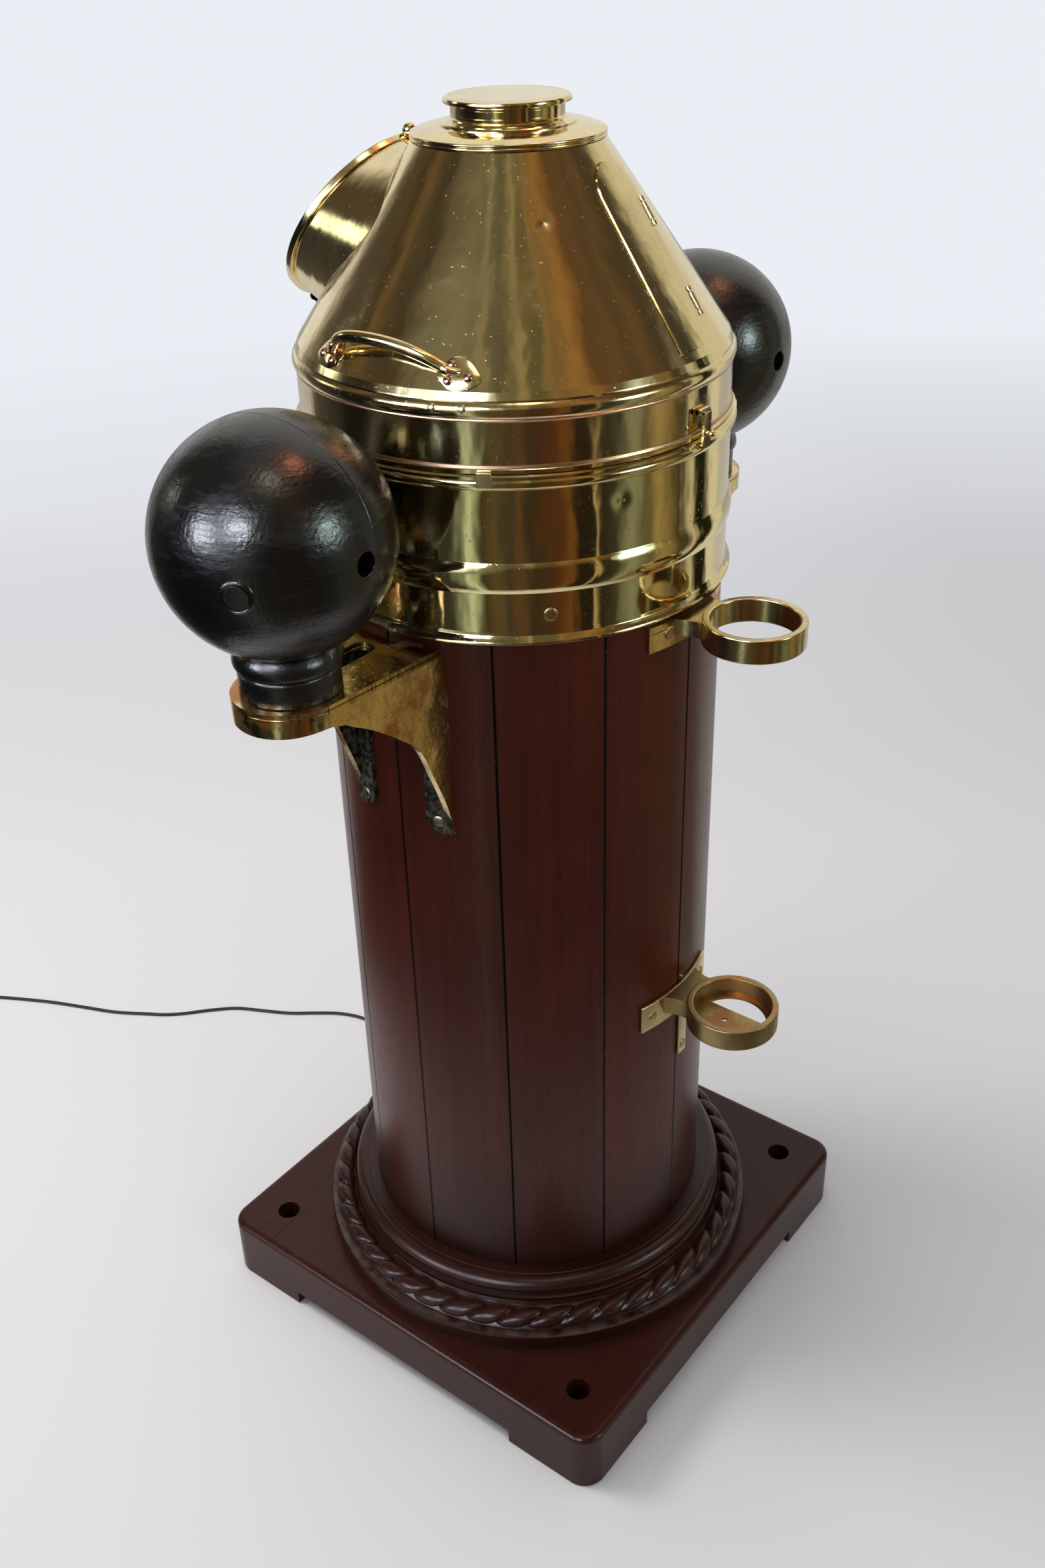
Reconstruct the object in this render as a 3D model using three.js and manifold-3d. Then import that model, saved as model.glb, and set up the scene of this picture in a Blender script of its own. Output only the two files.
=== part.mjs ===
// Binnacle compass: a wooden stand built of staves, with a brass compass casing and hood,
// two correcting spheres on brackets and a pair of sockets for an upright iron bar.
// Millimetres, +Z up. The origin is the middle of the base's underside, on the column's axis.
// +X points to the near sphere, +Y to the bar sockets and -Y to the sight tube.
import * as THREE from 'three';
import { mergeVertices } from 'three/addons/utils/BufferGeometryUtils.js';
import Module from 'manifold-3d';

const wasm = await Module();
wasm.setup();

// Clearances and overruns
const seatGap = 0.3; // between two pieces that touch
const overrun = 12; // how far a cutter runs past the faces that it opens
const weldDistance = 0.0002;

// Facets: large round pieces share one count, so that nested ones stay parallel
const ringSides = 36;
const smallSides = 20;
const rodSides = 12;
const nutSides = 6;
const slotSteps = 6;

// Base
const baseSide = 555;
const baseHeight = 80;
const baseCornerRadius = 26;
const baseCornerSteps = 5;
const baseEdgeRound = 8;
const baseEdgeSteps = 3;
const footSide = 112.5;
const footHeight = 19.5;
const boltInset = 53.5; // from the base's side to the middle of a bolt hole
const boltHoleRadius = 13.5;

// Column of staves
const columnRadius = 198.5;
const columnHeight = 885; // above the base
const staveThickness = 28.5;
const staveCount = 12;
const staveGroove = 1.2;
const columnTop = baseHeight + columnHeight;
const staveInner = columnRadius - staveThickness;
const baseWellRadius = staveInner - 20;

// Door in the back of the column
const columnDoorRise = 250; // from the base to the door's opening
const columnDoorHeight = 370;
const columnDoorFrom = 248; // degrees
const columnDoorTo = 292; // degrees
const columnDoorClearance = 1;
const columnHingeRadius = 4;
const columnHingeInset = 20; // from the opening's ends to the hinge's
const columnHingeLeaf = 18;
const columnHingeThickness = 2;
const columnDoorBottom = baseHeight + columnDoorRise;

// Mouldings at the column's foot: how far each stands out from the column, and how high it is
const plinthReach = 62.5;
const plinthTopReach = 52.5;
const plinthHeight = 20.7;
// Plinth's profile: [share of the way in from its foot to its top, share of its height]
const plinthShares = [
  [0, 0],
  [0, 0.42],
  [0.35, 0.62],
  [0.8, 0.78],
  [1, 0.83],
  [1, 1],
];
const ropeReach = 39.5; // to the middle of the rope
const ropeThickness = 12.85;
const ropeFrom = -50; // degrees
const ropeTo = 115; // degrees
const ropeSteps = 6;
const ropeNeckReach = 30.5;
const ropeRingHeight = 22.7;
const ropeShoulderShare = 0.12;
const torusReach = 27.5;
const torusFilletReach = 29.6;
const torusFilletHeight = 4;
const torusRingHeight = 25;
const torusFrom = -55; // degrees
const torusTo = 75; // degrees
const torusSteps = 4;

// Magnets inside the column
const trayRise = 350; // from the base to the shelf
const trayThickness = 25;
const trayHoleRadius = 48;
const magnetLength = 200;
const magnetSide = 12;
const magnetOffset = 90;

// Deck above the column, with the tube that hangs from it
const deckThickness = 11.7;
const heelingTubeRadius = 42;
const heelingTubeWall = 2.5;
const heelingTubeDrop = 345; // below the column's top
const heelingFlangeWidth = 18;
const heelingFlangeThickness = 3.7;
const bucketRise = 100; // from the tube's lower end to the bucket
const bucketHeight = 120;
const bucketWall = 2;

// Casing round the compass: radii are how far it stands out from the column
const casingOverlap = 22; // how far it hangs over the column's top
const casingHeight = 156;
const casingLipReach = 7.5;
const casingReach = 2.8;
const lipHeight = 9;
const lowerBeadReach = 5.7;
const lowerBeadRise = 48;
const lowerBeadHeight = 28;
const upperBeadReach = 8;
const upperBeadHeight = 14;
// Profiles: [share of how far it stands out, share of its height]
const lipShares = [
  [1, 0],
  [0.3, 0.5],
  [0, 1],
];
const lowerBeadShares = [
  [0, 0],
  [0.85, 0.2],
  [1, 0.5],
  [0.85, 0.8],
  [0, 1],
];
const upperBeadShares = [
  [0, 0],
  [1, 0.28],
  [1, 0.8],
  [0.6, 1],
];
const casingBottom = columnTop - casingOverlap;
const casingTop = casingBottom + casingHeight;
const casingRadius = columnRadius + casingReach;
const upperBeadRadius = columnRadius + upperBeadReach;

// Gimbals
const pivotDrop = 19; // from the casing's top to the pivots
const pinRadius = 5;
const pinClearance = 0.3;
const gimbalClearance = 12; // from the bowl to the ring
const gimbalWidth = 12;
const gimbalHeight = 20;
const gimbalPinInset = 6.5; // from the column's outside to the pin's end
const gimbalBracketGap = 14; // from the ring to the forked bracket
const gimbalBracketWidth = 30;
const gimbalBracketDrop = 40;
const gimbalBracketRise = 4;
const pivotHeight = casingTop - pivotDrop;

// Compass bowl and what it holds
const bowlRadius = 122;
const bowlWall = 3;
const bowlRise = 12; // from the pivots to its rim
const bowlDepth = 80;
const bowlFloorRadius = 80;
const bowlShoulderShare = 0.5;
const bowlHaunchShares = [0.55, 0.22]; // of the way out and of the depth
const bowlPinReach = 9; // into the ring
const glassThickness = 3;
const glassClearance = 0.4;
const glassLedge = 5; // how far the glass's seat stands in
const bezelOverhang = 3;
const bezelWidth = 13;
const bezelThickness = 5.7;
const cardDrop = 27.7; // from the bowl's rim to the card
const cardClearance = 14;
const cardThickness = 1.7;
const cardMagnetLength = 120;
const cardMagnetSide = 12;
const cardMagnetThickness = 5;
const cardMagnetEye = 6;
const stemFootRadius = 16;
const stemFootThickness = 4;
const stemRadius = 4;
const bowlTop = pivotHeight + bowlRise;
const bowlBottom = bowlTop - bowlDepth;
const bowlInner = bowlRadius - bowlWall;
const cardRadius = bowlInner - cardClearance;
const cardHeight = bowlTop - cardDrop;
const gimbalInnerRadius = bowlRadius + gimbalClearance;
const gimbalOuterRadius = gimbalInnerRadius + gimbalWidth;

// Electric lamp beside the bowl
const lampAngle = 225; // degrees
const lampInset = 23.5; // from the column's outside
const lampHolderRadius = 13;
const lampHolderHeight = 42.7;
const lampBulbRadius = 14;
const lampBulbHeight = 48;
// Bulb's profile: [share of its radius, share of its height]
const lampBulbShares = [
  [0.6, 0],
  [1, 0.45],
  [0.8, 0.85],
  [0, 1],
];

// Hood
const hoodRegisterDrop = 13.7;
const sheetWall = 2.5;
const hoodBandReach = 4.5;
const hoodBandHeight = 4.7;
const hoodDrumReach = 2.5;
const hoodDrumHeight = 41;
const hoodBeadReach = 3; // from the drum
const hoodBeadHeight = 13;
const hoodBeadShares = [
  [0, 0],
  [0.8, 0.15],
  [1, 0.5],
  [0.8, 0.85],
];
const coneFootHeight = 4; // straight part above the bead
const coneFootReach = 2;
const coneHeight = 167.5;
const coneTopRadius = 84.5;
const hoodBandBottom = casingTop + seatGap;
const hoodBandTop = hoodBandBottom + hoodBandHeight;
const hoodDrumRadius = columnRadius + hoodDrumReach;
const hoodBeadBottom = hoodBandTop + hoodDrumHeight;
const hoodBeadTop = hoodBeadBottom + hoodBeadHeight;
const hoodBeadRadius = hoodDrumRadius + hoodBeadReach;
const coneBottom = hoodBeadTop + coneFootHeight;
const coneBottomRadius = columnRadius + coneFootReach;
const coneTop = coneBottom + coneHeight;

// Cap and lid on the hood
const brimOverhang = 1;
const brimHeight = 6.7;
// Brim's profile: [share of its height outward, share of its height up]
const brimShares = [
  [-0.25, 0],
  [0, 0.3],
  [0, 0.7],
  [-0.4, 1],
];
const capFlangeRadius = 59.5;
const capDomeRise = 5;
const capFlangeThickness = 2.5;
const collarRadius = 49.3;
const collarHeight = 14;
const collarWall = 2.3;
const coveShares = [
  [0.12, 0.25],
  [0, 0.35],
];
const lidOverhang = 6.2;
const lidThickness = 5.7;
const lidSpigotDepth = 8;
const lidEdgeRound = 1.4;

// Sight tube: a slanting cone whose mouth looks out and up over -Y
const mouthStandOff = 31.9; // from the hood's cone to the mouth's middle, level
const mouthRise = 85.5; // from the cone's foot to the mouth's middle
const mouthTilt = 37.2; // degrees that the mouth looks up
const mouthTubeRadius = 90.5;
const sightDepth = 95; // how far the slanting cone runs behind the mouth
const sightTaperShare = 0.34; // how much its radius grows for each unit of depth
const sightSlideShare = 0.6; // how far the sections climb for each unit of depth
const coverOverhang = 4;
const coverDepth = 7;
const coverFrameWidth = 12;
const sightGlassThickness = 3;
const coverKnobRadius = 6.5;
const coverKnobLiftShare = 0.8;
const coverHingeRadius = 4;
const coverHingeLength = 44;
const coverHingeStem = 12;
const coverRadius = mouthTubeRadius + coverOverhang;

// Small door in the hood, on the +Y side
const hoodDoorLeft = -35;
const hoodDoorWidth = 53;
const hoodDoorRise = 13; // from the cone's foot
const hoodDoorDrop = 12.5; // below the cone's top
const hoodDoorLift = 0.4;
const hoodDoorThickness = 2;
const hoodDoorOverlap = 5;
const hoodDoorArcSteps = 8;
const barrelRadius = 2.2;
const barrelOffset = 2; // from the door's edge to the hinge line
const lowerBarrelRise = 19; // from the door's foot
const upperBarrelDrop = 54; // below the door's top
const barrelRise = 22;
const hoodDoorBottom = coneBottom + hoodDoorRise;
const hoodDoorTop = coneTop - hoodDoorDrop;
const lowerBarrelBottom = hoodDoorBottom + lowerBarrelRise;
const upperBarrelBottom = hoodDoorTop - upperBarrelDrop;

// Lifting handles on the hood
const handleTurn = 2.2; // degrees
const handleSpreadAngle = 21.3; // degrees from the handle's middle to each foot
const handleFootRise = 16; // from the cone's foot
const handleArch = 35;
// Half of the arch: [share of the way from its middle to a foot, share of its height]
const handleArchShares = [
  [1, 0.02],
  [0.985, 0.35],
  [0.87, 0.74],
  [0.52, 0.96],
];
const handleBarRadius = 5.5;
const handleBarSides = 8;
const handleBarSteps = 14;
const handlePlateRadius = 17;
const handlePlateThickness = 2.5;

// Hasp that holds the hood to the casing
const haspHingeRise = 20; // from the top of the hood's band
const haspWidth = 12;
const haspDrop = 32;
const haspThickness = 2.5;
const haspStandOff = 0.5; // from the casing's bead to the strap
const haspBarrelRadius = 3;
const haspKnobRadius = 4;
const haspKnobDrop = 19;

// Sphere brackets
const bracketInset = 30; // below the column's top
const bracketDrop = 200;
const bracketLength = 177; // from the column
const bracketRootHalfWidth = 60;
const bracketNoseRadius = 51.5;
const bracketNoseAngle = 84; // degrees to each side
const bracketNoseSteps = 12;
const bracketWall = 7;
const bracketPlate = 8;
const slotHalfWidth = 12;
const slotStart = 23.5; // from the column
const slotLength = 123;
const bracketFootInset = 2; // from the web's outside to the foot's edge
const bracketFootWidth = 25.3;
const bracketFootHeight = 38;
const bracketFootThickness = 4;
// Lower edge of a bracket's side web: [share of its reach from the column, share of its drop]
const webEdgeShares = [
  [1, 0.117],
  [0.725, 0.105],
  [0.584, 0.165],
  [0.471, 0.225],
  [0.301, 0.34],
  [0.171, 0.45],
  [0.08, 0.635],
  [0.001, 0.815],
  [-0.05, 1],
  [-0.2, 1],
];
const bracketTop = columnTop - bracketInset;
const bracketReach = columnRadius + bracketLength;

// Correcting spheres, their necks and clamp bolts
const sphereStandOff = 124; // from the column to the sphere's middle
const sphereRise = 136.6; // from the bracket to the sphere's middle
const sphereRadius = 101.5;
const sphereWall = 19.5;
const sphereHoleRadius = 10;
const sphereRings = 12;
const neckRadius = 44.3;
const neckHeight = 44;
const neckGrooveRise = 23;
const neckGrooveHalfWidth = 1.8;
const neckGrooveDepth = 1.2;
const neckBeadReach = 3.3;
const neckBeadHeight = 18;
// Bead at the neck's top: [share of how far it stands out, share of its height]
const neckBeadShares = [
  [0.4, 0],
  [1, 0.3],
  [0.85, 0.6],
  [-0.2, 1],
];
const boltRadius = 9;
const clampWasherRadius = 24;
const clampWasherThickness = 6.4;
const clampNutRadius = 16;
const clampNutHeight = 14;

// Sockets for the upright bar
const socketStandOff = 68; // from the column to the sockets' middle
const socketRadius = 48;
const socketBore = 41;
const upperSocketInset = 44.5; // from the column's top down to the ring's underside
const upperSocketHeight = 23.5;
const upperPlateDrop = 8.5; // below the ring's underside
const upperPlateHeight = 25.6;
const cupRise = 395; // from the base
const cupHeight = 24;
const cupFloor = 3.5;
const cupWindowSide = 11; // from the cup's middle to the straight edge of its window
const cupWindowRadius = 36;
const cupWindowSteps = 8;
const cupDrainRadius = 3;
const cupDrainOffset = 5.5;
const lowerPlateDrop = 12; // below the cup's underside
const lowerPlateHeight = 34;
const plateFrom = 72.4; // degrees
const plateTo = 108; // degrees
const plateThickness = 4.5;
const socketWebRoot = 34;
const socketWebWaist = 23;
const socketWebFront = 42.24;
const socketWebBack = 21.6; // from the socket's middle to the web's front
const cupLegDrop = 79; // below the cup's underside
const cupLegWidth = 14;
const cupLegAngle = 92; // degrees
const socketDistance = columnRadius + socketStandOff;

// Lead of the lamp: flat twin cord on the floor
const cordWidth = 5.5;
const cordSides = 8;
const cordSteps = 52;
const floorLift = 0.05;
const glandWidth = 20;
const glandDepth = 16;
const glandClear = 2;
const coilSteps = 24;
const coilSides = 6;
const coilTurns = 6;
const coilClimbTurns = 1 / 4;
const coilNextTurnShare = 0.7; // of a turn: nearer points are the same stretch of cord
const coilInnerRadius = 20.5;
const coilPitch = 6.3;
const coilLayer = 6.3;
const coilTail = 36;
const plugLength = 30;
const plugWidth = 22;
const plugHeight = 18;
const plugBladeLength = 16;
const plugBladeWidth = 6.3;
const plugBladeThickness = 1.5;
const plugBladeSpacing = 12.7;
// The lead's route from the gland: [x, y, height above where it lies on the floor]
const cordRoute = [
  [-110, -262.3, 3.2],
  [-110, -270, 2.8],
  [-110.5, -285, 1.4],
  [-113, -305, 0.3],
  [-120, -335, 0],
  [-136, -368, 0],
  [-155, -402, 0],
  [-170, -438, 0],
  [-173, -470, 0],
  [-161, -505, 0],
  [-140, -537, 0],
  [-116, -570, 0],
  [-96, -608, 0],
  [-76, -646, 0],
  [-49, -676, 0],
  [-19, -704, 0],
  [0, -726, 0],
  [15, -750, 0],
  [31, -776, 0],
  [45, -802, 0],
  [64, -848, 0],
  [84, -895, 0],
  [104, -935, 0],
  [125, -974, 0],
  [136.5, -996.2, 0],
  [148, -1018.4, 0],
];

// Materials
const paint = (color, roughness, metalness = 0) =>
  new THREE.MeshStandardMaterial({ color, roughness, metalness });
const brass = paint(0xb08d4a, 0.25, 1);
const darkBrass = paint(0x8a6f3c, 0.45, 1);
const mahogany = paint(0x4a1c10, 0.4);
const darkWood = paint(0x2e1210, 0.3);
const blackPaint = paint(0x101011, 0.3);
const iron = paint(0x35332f, 0.6, 0.8);
const clearGlass = paint(0xdfe8e6, 0.05);
const cardWhite = paint(0xe8e2cf, 0.7);
const blackRubber = paint(0x141414, 0.5);

const group = new THREE.Group();

// Angles and points

function rad(degrees) {
  return THREE.MathUtils.degToRad(degrees);
}

// A point at an angle on the regular polygon that a turned piece of this radius has in plan.
function onFacet(radius, degrees) {
  const step = 360 / ringSides;
  const within = ((degrees % step) + step) % step;
  const reach = (radius * Math.cos(rad(step / 2))) / Math.cos(rad(within - step / 2));
  return [reach * Math.cos(rad(degrees)), reach * Math.sin(rad(degrees))];
}

// Shapes

// A body turned about Z from [radius, height] pairs; off the axis, the profile closes on itself.
function turned(profile, sides = ringSides) {
  const points = profile.map(([radius, height]) => new THREE.Vector2(radius, height));
  if (profile[0][0] > 0) points.push(points[0].clone());
  return new THREE.LatheGeometry(points, sides).rotateX(Math.PI / 2);
}

// Profile points of a swelling: shares of how far it stands out and of its height.
function swell(radius, reach, bottom, height, shares) {
  return shares.map(([out, up]) => [radius + reach * out, bottom + height * up]);
}

// A flat outline of [x, y] pairs raised from a height by a thickness.
function slab(outline, bottom, thickness) {
  const shape = new THREE.Shape(outline.map(([x, y]) => new THREE.Vector2(x, y)));
  const settings = { depth: thickness, bevelEnabled: false };
  return new THREE.ExtrudeGeometry(shape, settings).translate(0, 0, bottom);
}

// A box from its lowest corner to its highest.
function block(low, high) {
  const size = high.map((value, axis) => value - low[axis]);
  const middle = low.map((value, axis) => value + size[axis] / 2);
  return new THREE.BoxGeometry(...size).translate(...middle);
}

// A round bar between two points.
function rod(radius, from, to, sides = rodSides) {
  const start = new THREE.Vector3(...from);
  const along = new THREE.Vector3(...to).sub(start);
  const turn = new THREE.Quaternion().setFromUnitVectors(
    new THREE.Vector3(0, 1, 0),
    along.clone().normalize(),
  );
  const bar = new THREE.CylinderGeometry(radius, radius, along.length(), sides);
  const middle = start.addScaledVector(along, 1 / 2);
  return bar.applyQuaternion(turn).translate(middle.x, middle.y, middle.z);
}

// A curved plate between two radii and two angles, parallel to the turned pieces.
function sector(inner, outer, from, to, bottom, height) {
  const step = 360 / ringSides;
  const angles = [from];
  for (let angle = (Math.floor(from / step) + 1) * step; angle < to; angle += step) angles.push(angle);
  angles.push(to);
  const outline = angles.map((angle) => onFacet(outer, angle));
  angles.reverse().forEach((angle) => outline.push(onFacet(inner, angle)));
  return slab(outline, bottom, height);
}

// Points on an arc about a middle.
function arc(middleX, middleY, radius, from, to, steps) {
  return Array.from({ length: steps + 1 }, (_, index) => {
    const angle = rad(from + ((to - from) * index) / steps);
    return [middleX + radius * Math.cos(angle), middleY + radius * Math.sin(angle)];
  });
}

// Solids: only cutting and joining happens on these

function solid(shape) {
  if (!(shape instanceof THREE.BufferGeometry)) return shape;
  const bare = new THREE.BufferGeometry();
  bare.setAttribute('position', shape.getAttribute('position'));
  if (shape.index) bare.setIndex(shape.index);
  const merged = mergeVertices(bare, weldDistance);
  const places = merged.getAttribute('position').array;
  const corners = merged.index.array;
  const faces = [];
  let volume = 0;
  const at = (index) => new THREE.Vector3().fromArray(places, index * 3);
  for (let face = 0; face < corners.length; face += 3) {
    const [a, b, c] = corners.slice(face, face + 3);
    if (a === b || b === c || c === a) continue;
    faces.push([a, b, c]);
    volume += at(a).dot(at(b).cross(at(c)));
  }
  const outward = volume < 0 ? faces.map(([a, b, c]) => [a, c, b]) : faces;
  const mesh = new wasm.Mesh({
    numProp: 3,
    vertProperties: new Float32Array(places),
    triVerts: new Uint32Array(outward.flat()),
  });
  return new wasm.Manifold(mesh);
}

function join(...shapes) {
  return shapes.map(solid).reduce((whole, next) => whole.add(next));
}

function cut(shape, ...cutters) {
  return cutters.map(solid).reduce((rest, cutter) => rest.subtract(cutter), solid(shape));
}

function common(first, second) {
  return solid(first).intersect(solid(second));
}

// A named mesh with its material, added to a parent.
function add(name, shape, material, parent = group) {
  const { vertProperties, triVerts } = solid(shape).getMesh();
  const geometry = new THREE.BufferGeometry();
  geometry.setAttribute('position', new THREE.BufferAttribute(vertProperties, 3));
  geometry.setIndex(new THREE.BufferAttribute(triVerts, 1));
  geometry.computeVertexNormals();
  const mesh = new THREE.Mesh(geometry, material);
  mesh.name = name;
  parent.add(mesh);
  return mesh;
}

// Base: a square slab with rounded corners that stands on four corner feet
function makeBase() {
  const half = baseSide / 2;
  const turn = half - baseCornerRadius;
  const corner = baseCornerRadius - baseEdgeRound;
  const outline = [0, 1, 2, 3].flatMap((quarter) => {
    const angle = quarter * 90;
    const x = turn * (quarter === 0 || quarter === 3 ? 1 : -1);
    const y = turn * (quarter < 2 ? 1 : -1);
    return arc(x, y, corner, angle, angle + 90, baseCornerSteps);
  });
  const shape = new THREE.Shape(outline.map(([x, y]) => new THREE.Vector2(x, y)));
  const board = new THREE.ExtrudeGeometry(shape, {
    depth: baseHeight - baseEdgeRound + overrun,
    bevelThickness: baseEdgeRound,
    bevelSize: baseEdgeRound,
    bevelSegments: baseEdgeSteps,
  }).translate(0, 0, -overrun);
  const reach = half + overrun;
  const channel = half - footSide;
  const under = -overrun - baseEdgeRound - overrun;
  const cutters = [
    block([-reach, -reach, under], [reach, reach, 0]),
    block([-reach, -channel, under], [reach, channel, footHeight]),
    block([-channel, -reach, under], [channel, reach, footHeight]),
    turned([
      [0, 0],
      [baseWellRadius, 0],
      [baseWellRadius, baseHeight + overrun],
      [0, baseHeight + overrun],
    ]),
  ];
  const bolt = half - boltInset;
  for (const [x, y] of [[1, 1], [-1, 1], [-1, -1], [1, -1]]) {
    const top = [x * bolt, y * bolt, baseHeight + overrun];
    cutters.push(rod(boltHoleRadius, [x * bolt, y * bolt, -overrun], top, smallSides));
  }
  add('base_plate', cut(board, ...cutters), darkWood);
}

// Mouldings round the column's foot
const mouldingInner = columnRadius + seatGap;
const plinthBottom = baseHeight + seatGap;
const plinthTop = plinthBottom + plinthHeight;
const ropeBottom = plinthTop + seatGap;
const ropeTop = ropeBottom + ropeRingHeight;
const torusBottom = ropeTop + seatGap;

function makeMouldings() {
  const inward = plinthTopReach - plinthReach;
  add('plinth_ring', turned([
    [mouldingInner, plinthBottom],
    ...swell(columnRadius + plinthReach, inward, plinthBottom, plinthHeight, plinthShares),
    [mouldingInner, plinthTop],
  ]), mahogany);
  const middle = ropeTop - ropeThickness;
  const ropeNeck = columnRadius + ropeNeckReach;
  const bulge = arc(columnRadius + ropeReach, middle, ropeThickness, ropeFrom, ropeTo, ropeSteps);
  add('rope_ring', turned([
    [mouldingInner, ropeBottom],
    [bulge[0][0], ropeBottom],
    ...bulge.slice(1, -1),
    [ropeNeck, ropeTop - ropeThickness * ropeShoulderShare],
    [ropeNeck, ropeTop],
    [mouldingInner, ropeTop],
  ]), mahogany);
  const ring = (torusRingHeight - torusFilletHeight) / 2;
  const torusMiddle = torusBottom + torusFilletHeight + ring;
  add('torus_ring', turned([
    [mouldingInner, torusBottom],
    [columnRadius + torusFilletReach, torusBottom],
    [columnRadius + torusFilletReach, torusBottom + torusFilletHeight],
    ...arc(columnRadius + torusReach - ring, torusMiddle, ring, torusFrom, torusTo, torusSteps),
    [mouldingInner, torusBottom + torusRingHeight],
  ]), mahogany);
}

// Column: twelve staves side by side with a small groove at each joint
function staveBody() {
  const half = 180 / staveCount;
  const step = 360 / ringSides;
  const edge = (radius, inset) => half - THREE.MathUtils.radToDeg(inset / radius);
  const sides = [-step / 2, step / 2];
  const polar = (radius, degrees) => [radius * Math.cos(rad(degrees)), radius * Math.sin(rad(degrees))];
  const outer = edge(columnRadius, staveGroove + seatGap / 2);
  const neck = columnRadius - staveGroove;
  const neckEdge = edge(neck, seatGap / 2);
  const innerEdge = edge(staveInner, seatGap / 2);
  const outline = [
    polar(neck, -neckEdge),
    polar(columnRadius, -outer),
    ...sides.map((angle) => polar(columnRadius, angle)),
    polar(columnRadius, outer),
    polar(neck, neckEdge),
    polar(staveInner, innerEdge),
    ...sides.map((angle) => polar(staveInner, -angle)),
    polar(staveInner, -innerEdge),
  ];
  return slab(outline, baseHeight + seatGap, columnTop - baseHeight - seatGap);
}

function makeColumn() {
  const pitch = 360 / staveCount;
  for (let index = 0; index < staveCount; index += 1) {
    const middle = (index + 0.5) * pitch;
    const inner = staveInner - overrun;
    const outer = columnRadius + overrun;
    const opening = sector(
      inner, outer, columnDoorFrom, columnDoorTo, columnDoorBottom, columnDoorHeight,
    ).rotateZ(-rad(middle));
    const name = `stave_${String(index + 1).padStart(2, '0')}`;
    const crossed = middle + pitch > columnDoorFrom && middle - pitch < columnDoorTo;
    const stave = add(name, crossed ? cut(staveBody(), opening) : staveBody(), mahogany);
    stave.rotation.z = rad(middle);
  }
  const gapAngle = THREE.MathUtils.radToDeg(columnDoorClearance / columnRadius);
  add('column_door', sector(
    staveInner,
    columnRadius,
    columnDoorFrom + gapAngle,
    columnDoorTo - gapAngle,
    columnDoorBottom + columnDoorClearance,
    columnDoorHeight - 2 * columnDoorClearance,
  ), mahogany);
  const leafAngle = THREE.MathUtils.radToDeg(columnHingeLeaf / columnRadius);
  const hingeBottom = columnDoorBottom + columnHingeInset;
  const columnHingeLength = columnDoorHeight - 2 * columnHingeInset;
  const axis = columnRadius + seatGap + columnHingeRadius;
  const [x, y] = [axis * Math.cos(rad(columnDoorFrom)), axis * Math.sin(rad(columnDoorFrom))];
  const leaf = sector(
    columnRadius + seatGap,
    columnRadius + seatGap + columnHingeThickness,
    columnDoorFrom - leafAngle,
    columnDoorFrom,
    hingeBottom,
    columnHingeLength,
  );
  const barrel = rod(columnHingeRadius, [x, y, hingeBottom], [x, y, hingeBottom + columnHingeLength]);
  add('column_hinge', join(leaf, barrel), brass);
}

// Magnets: a shelf with a bar magnet, and a bucket that slides in a tube under the compass
const deckBottom = columnTop + seatGap;
const deckTop = deckBottom + deckThickness;

function makeMagnets() {
  const shelfRadius = staveInner - seatGap;
  const trayBottom = baseHeight + trayRise;
  add('magnet_tray', turned([
    [trayHoleRadius, trayBottom],
    [shelfRadius, trayBottom],
    [shelfRadius, trayBottom + trayThickness],
    [trayHoleRadius, trayBottom + trayThickness],
  ]), mahogany);
  const magnetBottom = trayBottom + trayThickness + seatGap;
  add('corrector_magnet', block(
    [-magnetLength / 2, magnetOffset - magnetSide / 2, magnetBottom],
    [magnetLength / 2, magnetOffset + magnetSide / 2, magnetBottom + magnetSide],
  ), iron);
  add('deck_plate', turned([
    [heelingTubeRadius + seatGap, deckBottom],
    [columnRadius, deckBottom],
    [columnRadius, deckTop],
    [heelingTubeRadius + seatGap, deckTop],
  ]), mahogany);
  const bore = heelingTubeRadius - heelingTubeWall;
  const flange = deckTop + seatGap;
  const heelingTubeBottom = columnTop - heelingTubeDrop;
  const heelingFlangeRadius = heelingTubeRadius + heelingFlangeWidth;
  const bucketBottom = heelingTubeBottom + bucketRise;
  add('heeling_tube', turned([
    [bore, heelingTubeBottom],
    [heelingTubeRadius, heelingTubeBottom],
    [heelingTubeRadius, flange],
    [heelingFlangeRadius, flange],
    [heelingFlangeRadius, flange + heelingFlangeThickness],
    [bore, flange + heelingFlangeThickness],
  ], smallSides), brass);
  const bucket = bore - seatGap;
  add('heeling_bucket', turned([
    [0, bucketBottom],
    [bucket, bucketBottom],
    [bucket, bucketBottom + bucketHeight],
    [bucket - bucketWall, bucketBottom + bucketHeight],
    [bucket - bucketWall, bucketBottom + bucketWall],
    [0, bucketBottom + bucketWall],
  ], smallSides), darkBrass);
}

// Casing: a drum with a flared foot and two beads
function makeCasing() {
  const lip = casingLipReach - casingReach;
  const lower = lowerBeadReach - casingReach;
  const upper = upperBeadReach - casingReach;
  const lowerBeadBottom = casingBottom + lowerBeadRise;
  add('casing_shell', turned([
    [mouldingInner, casingBottom],
    ...swell(casingRadius, lip, casingBottom, lipHeight, lipShares),
    ...swell(casingRadius, lower, lowerBeadBottom, lowerBeadHeight, lowerBeadShares),
    ...swell(casingRadius, upper, casingTop - upperBeadHeight, upperBeadHeight, upperBeadShares),
    [mouldingInner, casingTop],
  ]), brass);
}

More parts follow.
